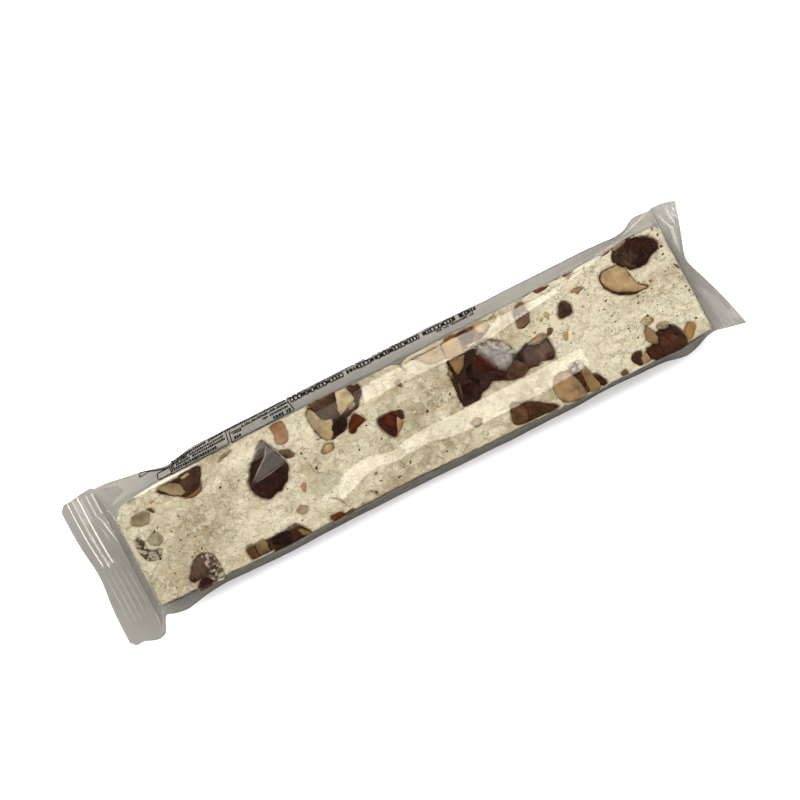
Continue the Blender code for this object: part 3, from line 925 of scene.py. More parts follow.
# What lies in the cut top, as outlines from above, roughly from left to right: each has its kind,
# the colour it is seen in, how rounded it is, and its corners. A later one lies over an earlier one.
PIECES = (
    # the left end
    ("almond", (148, 134, 104), 0.8,
     ((-96.2, 10.3), (-94.8, 12), (-91.5, 12.1), (-89.2, 11), (-90, 9), (-91.5, 7.7), (-94, 8.2))),
    ("skin", (76, 56, 36), 0.3,
     ((-89.6, 12.1), (-88, 11.8), (-87.5, 10.2), (-88.3, 10.4), (-89, 11.3))),
    ("almond", (162, 152, 122), 1.0,
     ((-93.5, 3.6), (-91, 4.6), (-89.3, 3), (-89.4, 0.8), (-91.5, 0.2), (-93.3, 1.3))),
    ("frost", (104, 88, 66), 0.6,
     ((-97.6, 4.6), (-96, 5.3), (-95, 3), (-95, 0.6), (-93, -0.8), (-91, -1.5), (-93, -4),
      (-96.6, -2.8), (-98.2, 0.4))),
    # the dark caramel beds of the clusters
    ("rind", (46, 28, 20), 0.4,
     ((16.9, -6.2), (17.6, 3), (19.4, 8.8), (25, 9.4), (29.4, 9), (33.4, 7.2), (37, 3.8), (39.6, 1.2),
      (44, 2.4), (46.4, 0.8), (51.2, 0.8), (51.2, -4), (49.6, -6.4), (46, -5.2), (41.6, -5.6),
      (38, -6.5), (33.6, -5.4), (29, -3.6), (24.5, -5.2), (22, -6.6))),
    ("rind", (52, 34, 26), 0.4,
     ((-29.4, 15), (-28, 17), (-18, 17.1), (-10.2, 16.5), (-9.8, 14), (-11, 12.4), (-13.4, 9.8),
      (-19, 8), (-20, 5), (-26, 4.3), (-28, 5.4), (-29.6, 9))),
    ("rind", (50, 30, 20), 0.5,
     ((77.4, -18), (80, -16.8), (81.5, -15), (84, -13.8), (88, -13.8), (90.8, -17.5), (91, -21.4),
      (86, -22.2), (79, -21.8), (77.5, -20.4))),
    ("rind", (66, 46, 32), 0.4,
     ((45.6, -15), (48, -11.5), (52, -11.6), (56.6, -10.6), (57.6, -13), (59, -17), (61.4, -20.6),
      (47, -20.8), (45.6, -17.4))),
    ("rind", (54, 30, 16), 0.4,
     ((-66.8, -14.4), (-60.6, -14.2), (-54, -15), (-48.8, -14.2), (-45.8, -19.2), (-58, -19.1),
      (-66.4, -18.2))),
    ("rind", (52, 30, 16), 0.4,
     ((28.9, -17.4), (30, -13.4), (31.6, -12.4), (34, -13.6), (38.5, -15.8), (42.5, -18.6),
      (44.2, -20.6), (38, -20.9), (32, -20.4), (29.4, -19.4))),
    ("rind", (112, 72, 48), 0.3,
     ((19.4, 15), (19.6, 10), (31, 10.2), (36.2, 12.6), (36, 15.3), (28, 15.5))),
    ("rind", (56, 34, 22), 0.5,
     ((-84.6, 15.8), (-80, 12), (-75, 9), (-71, 9.6), (-68.2, 15.6), (-70, 16.8), (-78, 16.8))),
    # the near-left cluster of caramel
    ("skin", (76, 60, 48), 0.8,
     ((-87.6, -14.4), (-86.2, -12.4), (-84.6, -10.2), (-82, -8.7), (-79.6, -8.8), (-77.6, -10.4),
      (-76.9, -13.5), (-77, -18.6), (-80, -19.2), (-82, -17), (-83.5, -15.8), (-85.8, -15.8))),
    ("caramel", (50, 25, 13), 0.7,
     ((-87.7, -14.3), (-86.2, -13.4), (-85.2, -14.6), (-85.5, -16), (-87, -15.9))),
    ("frost", (140, 124, 100), 0.8,
     ((-81, -9.6), (-79, -9.4), (-77.4, -11), (-76.9, -14), (-77, -18.6), (-79.6, -19),
      (-81.8, -16.6), (-80.6, -14.6), (-81.6, -12.2))),
    ("caramel", (42, 18, 12), 0.6,
     ((-85.5, -16.8), (-83.5, -15.6), (-81.5, -16.2), (-81, -18.3), (-82.6, -19.7), (-86.5, -19.4))),
    # B, the far-left caramel
    ("almond", (152, 128, 92), 0.4,
     ((-83.6, 16.6), (-82.2, 15), (-80.4, 13), (-77.6, 11), (-75.6, 11.5), (-76, 14.4), (-78, 16),
      (-81, 16.9))),
    ("caramel", (74, 50, 36), 0.5,
     ((-77, 11.2), (-75, 9.6), (-72.3, 10), (-70.2, 12.4), (-67.6, 16.6), (-70, 17.2), (-74, 16.8),
      (-76.4, 15))),
    ("caramel", (64, 44, 32), 0.3,
     ((-71.6, 14.6), (-69.6, 13.6), (-67.4, 16.7), (-72.4, 17.2), (-75.4, 16.8))),
    ("almond", (176, 156, 112), 0.4, ((-75.4, 16.4), (-75, 15.3), (-71.8, 15.7), (-71.4, 16.8))),
    ("almond", (132, 94, 50), 0.5,
     ((-77.2, 10), (-74.5, 8.7), (-71.5, 9.2), (-70, 11.2), (-72.4, 10.2), (-75.2, 9.8))),
    # F, along the near edge
    ("caramel", (98, 64, 30), 0.3,
     ((-67.2, -14.2), (-65, -13.2), (-63.6, -14.8), (-64.4, -18.6), (-66.8, -18.3))),
    ("almond", (126, 100, 62), 0.3,
     ((-63.6, -14.2), (-60.8, -13.8), (-60, -15.6), (-60.5, -18.3), (-63.8, -18))),
    ("caramel", (26, 8, 3), 0.8,
     ((-60.4, -16.8), (-58.6, -14.8), (-55, -14.4), (-51.6, -15.4), (-49.6, -16.6), (-48.4, -18.9),
      (-53, -19.6), (-58.5, -19.3))),
    ("almond", (66, 48, 20), 0.4, ((-53, -14.4), (-50.8, -14), (-49.9, -15.4), (-51.2, -16))),
    ("almond", (70, 28, 6), 0.3, ((-50.6, -14.4), (-48.8, -14.2), (-48.2, -16), (-49.6, -16.4))),
    ("almond", (128, 98, 54), 0.2, ((-49.4, -16.4), (-48, -16.4), (-45.6, -19.6), (-48, -19.2))),
    # D, the big dark almond
    ("dark_skin", (40, 18, 10), 1.0,
     ((-46, 14.6), (-44.2, 11.5), (-43, 8), (-42.1, 3.5), (-44, 0), (-47, -2.3), (-50, -3.2),
      (-52.6, -3.5), (-55, -2), (-56.4, 0.6), (-56.7, 4), (-55, 6.6), (-53, 9.5), (-50.5, 11.2),
      (-48, 13.8))),
    ("skin", (86, 70, 56), 0.5, ((-43, 9), (-40.2, 8.3), (-38.7, 6.2), (-39.5, 5.2), (-42, 6))),
    ("almond", (154, 110, 70), 0.7,
     ((-41.6, 17.2), (-38.2, 17.6), (-37.3, 16.6), (-37.5, 13), (-38.5, 10.8), (-40.5, 10.2),
      (-42.2, 11.4), (-41.8, 14))),
    ("almond", (176, 146, 104), 0.2, ((-62, 14.7), (-56.5, 16.1), (-56.7, 16.7), (-60, 16))),
    # between D and F
    ("almond", (154, 134, 106), 0.9,
     ((-46.4, -11.2), (-45, -9.9), (-43.4, -10.8), (-43.5, -12.6), (-45.6, -13))),
    ("caramel", (80, 40, 14), 0.9,
     ((-38.6, -18.4), (-36.8, -17.5), (-34, -17.9), (-33.6, -19.2), (-37, -19.5))),
    ("almond", (100, 80, 50), 0.3,
     ((-37.2, -19.6), (-33, -19.2), (-30.2, -18.6), (-30, -19.7), (-34, -20.3))),
    # G, the almonds in caramel at the far edge
    ("caramel", (76, 56, 40), 0.7,
     ((-28.2, 17.3), (-23, 17.8), (-18, 17.4), (-18.2, 15), (-19.3, 12.2), (-22, 10.8), (-24.8, 11),
      (-26.2, 13.4))),
    ("almond", (174, 152, 110), 0.6,
     ((-29.6, 15), (-28.3, 16.5), (-27, 15.2), (-25.6, 11.6), (-23, 10.2), (-23.2, 8.6), (-24.6, 6),
      (-26, 4.4), (-27.8, 5.4), (-29.2, 8.4), (-29.8, 12))),
    ("caramel", (32, 12, 6), 0.4,
     ((-24.6, 7.9), (-19.4, 9.3), (-16, 10.2), (-13, 10), (-15.4, 9.2), (-18, 8), (-19.6, 5.4),
      (-22.4, 4.8), (-26, 4.2))),
    ("caramel", (150, 136, 112), 0.5,
     ((-19.8, 10), (-16, 11.6), (-13.2, 12.6), (-11, 12.5), (-14.8, 10.2), (-18, 9.4))),
    ("caramel", (62, 38, 26), 0.6,
     ((-14, 17.1), (-10.4, 16.7), (-9.8, 14), (-11, 12.4), (-13.2, 12.3), (-13.6, 15))),
    ("almond", (196, 172, 130), 0.4,
     ((-18, 17.1), (-14.4, 16.9), (-13.6, 15), (-13.2, 12.6), (-16, 11.4), (-19.6, 9.9),
      (-19.6, 12.2), (-18.4, 15))),
    ("amber", (80, 32, 4), 0.3,
     ((-19.8, 3.4), (-18.4, 2.7), (-17.3, 3.4), (-15.4, 4.2), (-13.1, 4.7), (-14.2, 6.6),
      (-15.4, 8.7), (-17, 8.7), (-18.4, 7), (-19.6, 5))),
    ("almond", (176, 150, 104), 0.8, ((-31, 2.2), (-29, 1), (-26.6, 1.6), (-26.4, 3.2), (-28.6, 3.7))),
    # I, the red-brown almond with its tan cut
    ("dark_skin", (62, 20, 8), 0.7,
     ((-10.5, 2.4), (-9.5, 3.5), (-6, 3.5), (-4, 3), (-3.4, 1), (-4.8, -1.6), (-6.2, -4),
      (-7.3, -4.8), (-8.6, -3.8), (-9.6, -1.8), (-10.3, 0))),
    ("skin", (58, 32, 16), 0.7,
     ((-4.2, 2.9), (-2.2, 2.7), (-1.2, 1.4), (-2.2, -0.6), (-3.3, 0), (-3.8, 1.6))),
    ("almond", (160, 122, 78), 0.1,
     ((-5, -1.2), (-3.6, 1.2), (-2.7, -1.6), (-3.8, -2.8), (-6.1, -3.9))),
    ("almond", (120, 82, 44), 0.2, ((0.6, 11), (2.6, 11.3), (2.2, 8.9), (1.2, 9.6))),
    # J and K, the far-right cluster
    ("almond", (156, 130, 82), 0.6,
     ((8, 15.2), (10.2, 14.4), (13, 11.5), (14.4, 10.8), (18.8, 10.5), (18.8, 14.7), (15, 15))),
    ("almond", (164, 130, 82), 0.3,
     ((19.6, 15), (19.4, 10.2), (22, 9.4), (25.3, 9.6), (25.6, 14.8), (22, 15.4))),
    ("almond", (112, 74, 44), 0.3, ((21, 15.4), (25.5, 15.2), (27, 15.7), (24, 16.3), (21.5, 16.2))),
    ("caramel", (66, 40, 28), 0.4,
     ((26, 15.7), (26, 11), (28.5, 10.4), (31, 11.3), (31, 15.9), (28.5, 16.2))),
    ("almond", (186, 156, 114), 0.3, ((31.5, 15.9), (32, 13), (34, 11.6), (36.4, 13.4), (36, 15.6))),
    ("almond", (200, 170, 122), 0.4, ((37, 15), (37.4, 13.6), (39.4, 13.7), (39.2, 15.2))),
    ("almond", (132, 104, 68), 0.3, ((19.4, 9), (24.8, 8.8), (22.6, 5), (20, 4))),
    ("caramel", (44, 24, 12), 0.3,
     ((17.2, -4.5), (17.6, 2), (19, 8.4), (19.8, 8.6), (20, 3), (18.4, -1.5))),
    ("caramel", (38, 10, 4), 0.4,
     ((16.8, -6.4), (17.2, -4), (18, -1), (19.3, 3), (21, 4), (24, 3.6), (25.2, 1), (27.2, -1),
      (28.6, -3), (27, -4.7), (24, -5), (22.5, -6.7))),
    ("caramel", (66, 26, 14), 0.4,
     ((24.6, 3.6), (27.4, 6), (30, 6.5), (31.6, 4), (32.2, 0), (33.6, -3), (33, -4.3), (29, -2.6),
      (25.8, 1))),
    ("caramel", (96, 78, 64), 0.5,
     ((24.6, 9.6), (29.4, 9.2), (33.4, 7.4), (37, 3.8), (39.6, 1.2), (38, -0.5), (34.4, -2.9),
      (32.6, -0.6), (31.8, 4), (30.2, 6.7), (27, 6.3), (24.4, 4))),
    # greyish and speckled partly as painted sheen of the film's glare over the cluster
    ("frost", (150, 132, 112), 0.6,
     ((27, 10.8), (31, 10.6), (35.6, 8.8), (38.8, 5), (40.4, 1.4), (38.4, 1.8), (36, 4.4),
      (32.4, 7.2), (28, 8.8))),
    ("almond", (150, 118, 66), 0.2, ((17.2, 5.5), (18.1, 6.7), (18.7, 5.2), (18, 3.2))),
    ("almond", (104, 74, 32), 0.2, ((18.9, 2.2), (19.3, 1.4), (18.4, -2.6), (17.8, -4.4), (17.9, -2))),
    ("caramel", (18, 6, 3), 0.3,
     ((23.6, 7.6), (25.6, 5.4), (24.4, 1.6), (26.6, -2.2), (24.6, -3.6), (22.8, 2), (22.6, 5))),
    # greyish as painted sheen of the film's glare
    ("almond", (100, 86, 74), 0.2,
     ((32.3, 2.6), (35, 3.4), (38.4, 1.6), (37.8, -0.4), (34.3, -2.7), (32.8, -1))),
    ("caramel", (48, 14, 5), 0.3, ((29.6, -1.4), (31.4, -2.4), (33.6, -3.3), (33.2, -4.2), (30, -3))),
    # L and M, to its right
    ("caramel", (86, 62, 46), 0.5,
     ((33.5, -5.5), (34.5, -3), (38.5, -0.4), (40, -0.6), (41.4, -5), (38, -6.7))),
    ("caramel", (80, 56, 42), 0.3,
     ((40, -1.6), (42.4, 0.8), (44.3, 2.6), (46, 0.8), (47.4, -1.4), (46.8, -4), (44.8, -5.8),
      (42.6, -5.2), (40.8, -3.8))),
    ("caramel", (88, 62, 46), 0.4,
     ((46.2, 0.8), (48.4, 0.2), (51.2, 1.1), (51.4, -3), (50.6, -6.6), (49, -4.8), (46.8, -5.4),
      (46.6, -2))),
    ("almond", (164, 134, 98), 0.3, ((44.6, 1.9), (47, 3), (51, 2.8), (51.4, 0.9), (46.2, 0.9))),
    ("almond", (148, 120, 74), 0.8,
     ((16.7, -11.9), (18.6, -11.3), (20.2, -12.4), (19.2, -13.8), (17, -13.4))),
    # O and P, on the near edge
    ("skin", (86, 62, 36), 0.4,
     ((28.7, -17.5), (30, -14.3), (30.3, -12.7), (31.5, -12.5), (33.5, -14), (34.5, -17), (33, -20.2),
      (31, -19.9), (29, -19))),
    ("caramel", (72, 46, 26), 0.5,
     ((33.4, -14.2), (36, -15), (39, -16.5), (42, -18.5), (44.6, -20.4), (42.4, -21.4), (38, -20.3),
      (34, -20.6), (33.8, -17))),
    ("almond", (158, 126, 88), 0.9,
     ((45.3, -15), (46.6, -12.5), (48, -11.3), (50, -10.9), (52, -12), (53, -14), (53.8, -17),
      (54, -21.3), (49, -21.3), (46.5, -20), (45.3, -17.5))),
    ("frost", (100, 70, 40), 0.6,
     ((52.6, -10.4), (56.4, -10.3), (57.5, -12.4), (55.5, -13.6), (53.6, -13))),
    ("caramel", (66, 44, 22), 0.4,
     ((53.4, -13.2), (55.4, -13.4), (55.7, -17), (55.2, -21), (54.3, -21), (54, -17))),
    ("almond", (138, 110, 68), 0.3,
     ((55.7, -13.8), (57.4, -12.6), (58.6, -16.5), (59.4, -21.3), (55.6, -21.3))),
    ("caramel", (54, 20, 8), 0.8,
     ((58.7, -16.4), (60.5, -17.5), (61.7, -20), (61.4, -21.4), (60, -21.2), (59.2, -18.6))),
    # Q to T, small ones between
    ("almond", (116, 88, 66), 0.4,
     ((46, 14.2), (49, 15), (49.5, 11), (48.5, 7.8), (46.5, 7.3), (44.1, 7.9), (44.6, 10), (45, 12.5))),
    ("skin", (112, 58, 38), 0.2,
     ((54.2, 16.2), (56.5, 16.3), (59.2, 15.9), (57.8, 15.2), (55.4, 15.1))),
    ("skin", (112, 58, 38), 0.2,
     ((64.9, 16.6), (66.8, 16.5), (68.6, 16.2), (67.6, 15.7), (65.6, 15.5))),
    ("skin", (112, 62, 40), 0.2, ((78.6, 16.5), (80.4, 17), (82.3, 17.1), (81.4, 16.2), (79.8, 15.9))),
    ("skin", (120, 104, 84), 0.8, ((82.6, 16.9), (85, 17.2), (88, 17.1), (86, 15.8), (83.6, 15.6))),
    ("dark_skin", (62, 46, 32), 0.8,
     ((57.4, 4.6), (58.2, 6.8), (59.4, 8.7), (61, 9.2), (62.4, 8), (62.9, 6), (62.4, 4.4),
      (60.4, 3.8))),
    ("almond", (192, 146, 96), 0.3,
     ((64.6, 10.4), (66, 9.8), (66.3, 8.6), (67.5, 9.2), (69, 9.5), (68.7, 10.6), (66.5, 10.8))),
    # U and V, the almonds at the right end
    ("rind", (64, 38, 24), 0.9,
     ((74.9, 10.3), (76.5, 11.5), (79, 11.6), (82.3, 11.2), (84, 9), (84.4, 5.2), (85.5, 2.6),
      (88.4, 0.2), (83.4, 0), (79.3, 1.5), (76.9, 3.1), (75.2, 5.6), (74.6, 8))),
    ("almond", (174, 145, 105), 0.9,
     ((75.3, 9.9), (76.6, 11.2), (79, 11.3), (82.1, 11), (83.9, 9), (84.2, 6.5), (84.7, 3.6),
      (85.8, 1.9), (87.2, 0.5), (83.6, 0.9), (80.2, 2.3), (78, 3.6), (76.1, 5.9), (75.2, 8.2))),
    ("dark_skin", (42, 18, 9), 0.6,
     ((81.2, 13), (82, 15), (84, 16.5), (87, 17.3), (90, 17.2), (92.5, 15.8), (95, 15), (97, 12.5),
      (97.2, 10.5), (96, 9.3), (93.5, 8.6), (91.5, 7.3), (89, 6.9), (86, 7.5), (84.5, 8.2), (84, 10),
      (82.4, 11.2))),
    # lighter and greyer than the skin round it: painted sheen of the film's glare over V's left end
    ("skin", (58, 44, 32), 0.6,
     ((81.7, 13), (82.5, 15), (84.6, 16.3), (87.5, 16.5), (89.3, 14), (89.8, 11), (88, 8.2), (86, 8),
      (84.4, 9.6), (82.8, 11.4))),
    # W to Z, the near-right cluster
    # a greyish patch put in the hollow: painted shade
    ("skin", (150, 138, 110), 0.5,
     ((84, -12.2), (86, -11.8), (87.8, -12.8), (87.4, -14.2), (84.8, -13.9))),
    # the pale lump: partly its own colour, partly painted sheen of the film bulging over it
    ("skin", (184, 164, 128), 0.6,
     ((80.4, -9), (81.6, -8), (83.4, -8.4), (84.2, -9.8), (82.8, -10.6), (81, -10.2))),
    ("almond", (140, 110, 74), 0.5,
     ((81, -10.5), (82.3, -12.5), (82.9, -15.5), (82, -17.3), (80.8, -17), (79.4, -15), (79.9, -12.5))),
    ("caramel", (76, 44, 28), 0.6,
     ((82.8, -14), (85, -13.6), (88, -13.6), (89.5, -14.8), (91, -17.5), (91.3, -20), (90.6, -22),
      (86, -22.6), (82.6, -21.8), (81.6, -19.5), (82.6, -17))),
    ("caramel", (56, 28, 12), 0.5,
     ((77.3, -18), (78.5, -17), (81, -17.5), (82.2, -19), (82.2, -22), (79, -22), (77.4, -20.5))),
    ("almond", (168, 124, 70), 0.4,
     ((91.3, -18), (92.5, -17), (94, -15.8), (95.5, -17.2), (95.2, -18.5), (94, -19.5), (92.5, -21),
      (91.5, -21.4))),
    ("skin", (60, 38, 20), 0.7,
     ((71.9, -18.5), (73, -17), (75, -16.6), (76.3, -17.4), (75, -19), (74.7, -21.2), (73, -20.8))),
    ("almond", (166, 132, 92), 0.2, ((75.2, -19), (77.2, -17.7), (77.5, -21), (75, -21.4))),
    ("skin", (94, 64, 34), 0.3, ((66.7, -20.4), (68.6, -19.9), (69.1, -21.3), (67, -21.6))),
)

# Small bits in the top: colour, place, length, width and turn in degrees.
BITS = (
    ((60, 46, 30), -97.6, 3.2, 1.3, 0.8, 70), ((50, 40, 28), -97.9, 0.6, 1.0, 0.8, 20),
    ((46, 36, 26), -96.4, -2.0, 1.2, 0.9, 40), ((52, 42, 30), -93.8, -2.8, 1.1, 0.8, 60),
    ((52, 42, 30), -92.9, -4.0, 0.9, 0.8, 0), ((40, 32, 24), -94.7, 0.3, 0.8, 0.6, 0),
    ((58, 48, 34), -91.4, -1.6, 1.0, 0.6, 30), ((36, 30, 22), -90.6, 4.8, 1.3, 0.5, 35),
    ((36, 30, 22), -89.0, 5.4, 0.9, 0.5, 60), ((110, 98, 74), -84.2, -1.6, 0.9, 0.6, 50),
    ((110, 98, 74), -85.7, 2.2, 1.0, 0.6, 120), ((96, 86, 64), -81.3, 5.5, 1.6, 0.5, 130),
    ((90, 80, 60), -79.6, -2.8, 0.7, 0.6, 0), ((198, 140, 100), -87.0, 13.7, 1.7, 1.2, 0),
    ((170, 130, 70), -91.0, -10.2, 1.5, 0.6, 110), ((176, 150, 104), -91.6, -8, 2.0, 0.5, 100),
    ((66, 48, 36), -83.5, -8.2, 0.8, 0.7, 0), ((110, 96, 74), -79.5, -7.2, 1.6, 0.6, 60),
    ((34, 28, 22), -65.0, 7.5, 1.2, 0.7, 40), ((40, 30, 22), -36.7, 5.0, 0.9, 0.7, 0),
    ((44, 36, 26), -46.5, -14.3, 0.9, 0.6, 30), ((186, 142, 92), -41.0, -5.0, 3.2, 2.4, 60),
    ((120, 66, 44), -34.5, -1.3, 1.4, 0.9, 60), ((36, 30, 22), -13.9, 3.2, 0.8, 0.6, 0),
    ((44, 38, 28), -19.5, -2.8, 0.9, 0.7, 50), ((48, 42, 32), -11.5, -2.8, 1.0, 0.6, 20),
    ((44, 38, 28), -1.9, 3.6, 0.7, 0.5, 0), ((60, 52, 38), -0.5, 4.4, 0.6, 0.4, 0),
    ((150, 90, 66), -18.4, -12.0, 1.4, 0.7, 10), ((150, 90, 66), -18.0, -14.8, 1.4, 0.7, 160),
    ((56, 50, 38), -21.0, -17.2, 1.6, 0.7, 120), ((96, 88, 68), -6.8, -14.1, 1.6, 0.7, 60),
    ((110, 98, 76), -12.0, -16.5, 1.3, 0.7, 0), ((40, 34, 26), 5.4, -16.4, 0.8, 0.6, 130),
    ((112, 52, 32), 5.8, -1.9, 1.3, 1.1, 0), ((196, 150, 80), 9.5, -2.2, 2.4, 0.5, 130),
    ((104, 84, 50), 14.8, -0.5, 1.4, 0.7, 40), ((176, 164, 110), 52.2, 7.0, 2.0, 1.3, 20),
    ((196, 166, 116), 54.3, 7.6, 2.8, 2.2, 100), ((188, 156, 104), 56.7, -1.3, 3.4, 2.4, 70),
    ((116, 78, 58), 52.8, 2.4, 2.8, 2.2, 30), ((150, 96, 60), 48.3, 4.3, 0.9, 0.6, 0),
    ((150, 96, 60), 54.3, 6.2, 0.7, 0.5, 0), ((120, 80, 54), 58.3, 0.2, 0.8, 0.5, 20),
    ((140, 92, 56), 66.0, 4.5, 0.8, 0.6, 0), ((134, 96, 60), 73.5, 2.7, 1.0, 0.7, 30),
    ((134, 96, 60), 71.7, 0.5, 0.8, 0.6, 0), ((110, 80, 52), 82.3, -2.8, 0.8, 0.7, 0),
    ((150, 110, 70), 76.0, -8.7, 1.0, 0.6, 0), ((120, 84, 54), 77.2, -12.7, 0.9, 0.7, 0),
    ((140, 86, 50), 83.3, -0.8, 1.0, 0.7, 0), ((170, 96, 50), 97.5, 16.3, 1.5, 0.9, 70),
    ((120, 70, 44), 98.2, 13.8, 1.2, 0.8, 60), ((110, 66, 42), 96.8, 7.5, 1.1, 0.7, 20),
    ((60, 36, 24), 97.5, 10.0, 1.2, 0.8, 30), ((130, 84, 50), 99.0, 2.0, 2.4, 0.9, 110),
    ((180, 116, 62), 89.2, 1.7, 1.5, 1.1, 10), ((96, 60, 40), 98.5, -5.3, 1.1, 0.8, 0),
    ((96, 60, 40), 99.0, -6.8, 1.1, 0.8, 40), ((90, 58, 38), 96.7, -15.8, 1.0, 0.8, 0),
    ((90, 62, 42), 83.3, -7.8, 0.9, 0.8, 0), ((160, 110, 60), 72.0, 15.2, 1.2, 0.8, 0),
)

# Crevices in the nougat: width, depth, and the line each follows.
CREVICES = (
    (0.7, 1.6, ((19.0, 8.6), (18.2, 5.5), (17.4, 1.0), (16.9, -4.5))),
    (0.6, 0.7, ((4.7, 16.0), (5.0, 14.2), (5.6, 12.8))),
    (0.5, 0.3, ((-34.5, -12.5), (-32.6, -14.2), (-31.8, -15.6))),
    (0.4, 0.5, ((-22.5, -16.0), (-21.0, -18.5))),
    (0.4, 0.45, ((-30.5, 6.6), (-27, 6.2), (-24.5, 7))),
)

# Where the film lies flat on the nougat and presses it smooth: (middle x, y, half length, half width).
PRESSED = (
    (-71.5, -7.6, 5.0, 3.2), (-34.5, -7.0, 5.4, 3.6), (-2.5, -12.4, 7.0, 1.8), (-85.0, -3.5, 5.5, 3.5),
    (12.0, -9.5, 5.0, 2.2),
)

# Where a pale smear of nougat lies on the top: (middle x, y, half length, half width).
SMEARS = (
    (-58.0, -7.2, 14.0, 3.0), (-56.0, 13.4, 9.0, 2.6), (-33.5, 11.5, 4.0, 6.0), (-83.0, 1.0, 4.0, 5.0),
    (-6.0, 10.0, 6.0, 5.0), (-26.0, -11.0, 12.0, 4.5), (7.0, -7.0, 12.0, 3.0),
)

# How brown the nougat is painted round each kind of piece, partly stain and partly painted shade at its
# edge, and in a crevice, as painted shade.
STAIN_AND_SHADE = {
    "rind": 0.5, "caramel": 0.7, "dark_skin": 0.75, "amber": 0.5, "frost": 0.4, "skin": 0.5, "almond": 0.38,
}
CREVICE_SHADE = 0.9
BED_DEPTH = 1.3  # how far the nougat is sunk under a piece
TOP_FROM = 10.5  # what is higher than this belongs to the cut top


def nougat_ring(x):
    """The nougat's ring at x, a little wider at its foot."""
    near, far = nougat_edges(x)
    corners = np.array([
        (-near - 0.1, NOUGAT_BASE), (far + 0.1, NOUGAT_BASE), (far + 0.05, NOUGAT_WAIST),
        (far, NOUGAT_TOP), (-near, NOUGAT_TOP), (-near - 0.05, NOUGAT_WAIST),
    ])
    ring = outline(corners, [NOUGAT_CUT] * 6, NOUGAT_POINTS)
    return np.column_stack([np.full(len(ring), x), ring])


def nougat_grid():
    """The nougat's rings; its ends close in rings that shrink to the middle of the section."""
    stations = int(2 * NOUGAT_HALF / NOUGAT_STEP)
    grid = np.array([nougat_ring(x) for x in np.linspace(-NOUGAT_HALF, NOUGAT_HALF, stations)])
    middle = np.array([0.0, 0.0, 6.5])
    caps = []
    for end, out in ((grid[0], -1), (grid[-1], 1)):
        shrunk = []
        for i, k in enumerate(np.linspace(0.985, 0.02, END_RINGS)):
            ring = middle + (end - middle) * (1, k, k)
            ring[:, 0] += out * 0.25 * min(1, (i + 1) / 3)
            shrunk.append(ring)
        caps.append(np.array(shrunk))
    return np.concatenate([caps[0][::-1], grid, caps[1]])


def in_ovals(ovals, flat, edge, full, ragged):
    """0 outside the ovals and 1 well inside one, with a ragged edge between."""
    made = np.zeros(len(flat))
    for x, y, half_length, half_width in ovals:
        off = np.hypot((flat[:, 0] - x) / half_length, (flat[:, 1] - y) / half_width)
        made = np.maximum(made, ramp(edge, full, off + ragged))
    return made


def set_in(points, flat, on_top, rings, kinds):
    """How deep the nougat is sunk under the pieces and the crevices, and how brown it is painted round
    them: partly stain, partly painted shade.
    """
    sunk, stain_and_shade = np.zeros(len(points)), np.zeros(len(points))
    for ring, kind in zip(rings, kinds):
        centre, reach = (ring.min(0) + ring.max(0)) / 2, np.ptp(ring, axis=0) / 2 + 3
        near_by = on_top & np.all(abs(points[:, :2] - centre) < reach, axis=1)
        sunk[near_by] += BED_DEPTH * ramp(-0.3, 0.6, inside_by(points[near_by, :2], ring))
        shaken = inside_by(flat[near_by], ring)
        # a brown rim just round the piece: painted shade at its edge, partly stain
        stain_and_shade[near_by] = np.maximum(stain_and_shade[near_by], STAIN_AND_SHADE[kind] * ramp(-0.75, 0.15, shaken))
    for width, depth, line in CREVICES:
        cut = ramp(width, 0.1 * width, from_line(flat, line)) * on_top
        sunk += depth * cut
        # the crevice painted dark, as its shade
        stain_and_shade = np.maximum(stain_and_shade, CREVICE_SHADE * cut)
    return sunk, stain_and_shade


def nougat_marks(points, flat, on_top, ragged):
    """The marks that vary the nougat's colour from place to place."""
    x, y = points[:, 0], points[:, 1]
    smeared = on_top * in_ovals(SMEARS, flat, 1.3, 0.6, 0.4 * ragged)
    middle = ramp(-48, -22, x) * ramp(60, 34, x)
    left = ramp(-45, -70, x)
    cloud = noise(points * (0.6, 1.0, 1.0), 12, 2, 16)
    return {
        "warm": 0.55 * ramp(-55, -95, x) * ramp(4, -14, y),
        "pressed": on_top * in_ovals(PRESSED, flat, 1.1, 0.8, 0.25 * ragged),
        "pale": np.maximum(ramp(20, 62, x), smeared),
        "contact": ramp(-0.3, 0.6, 0.8 * cloud + 0.6 * middle + 0.35 * left - 0.35),
    }


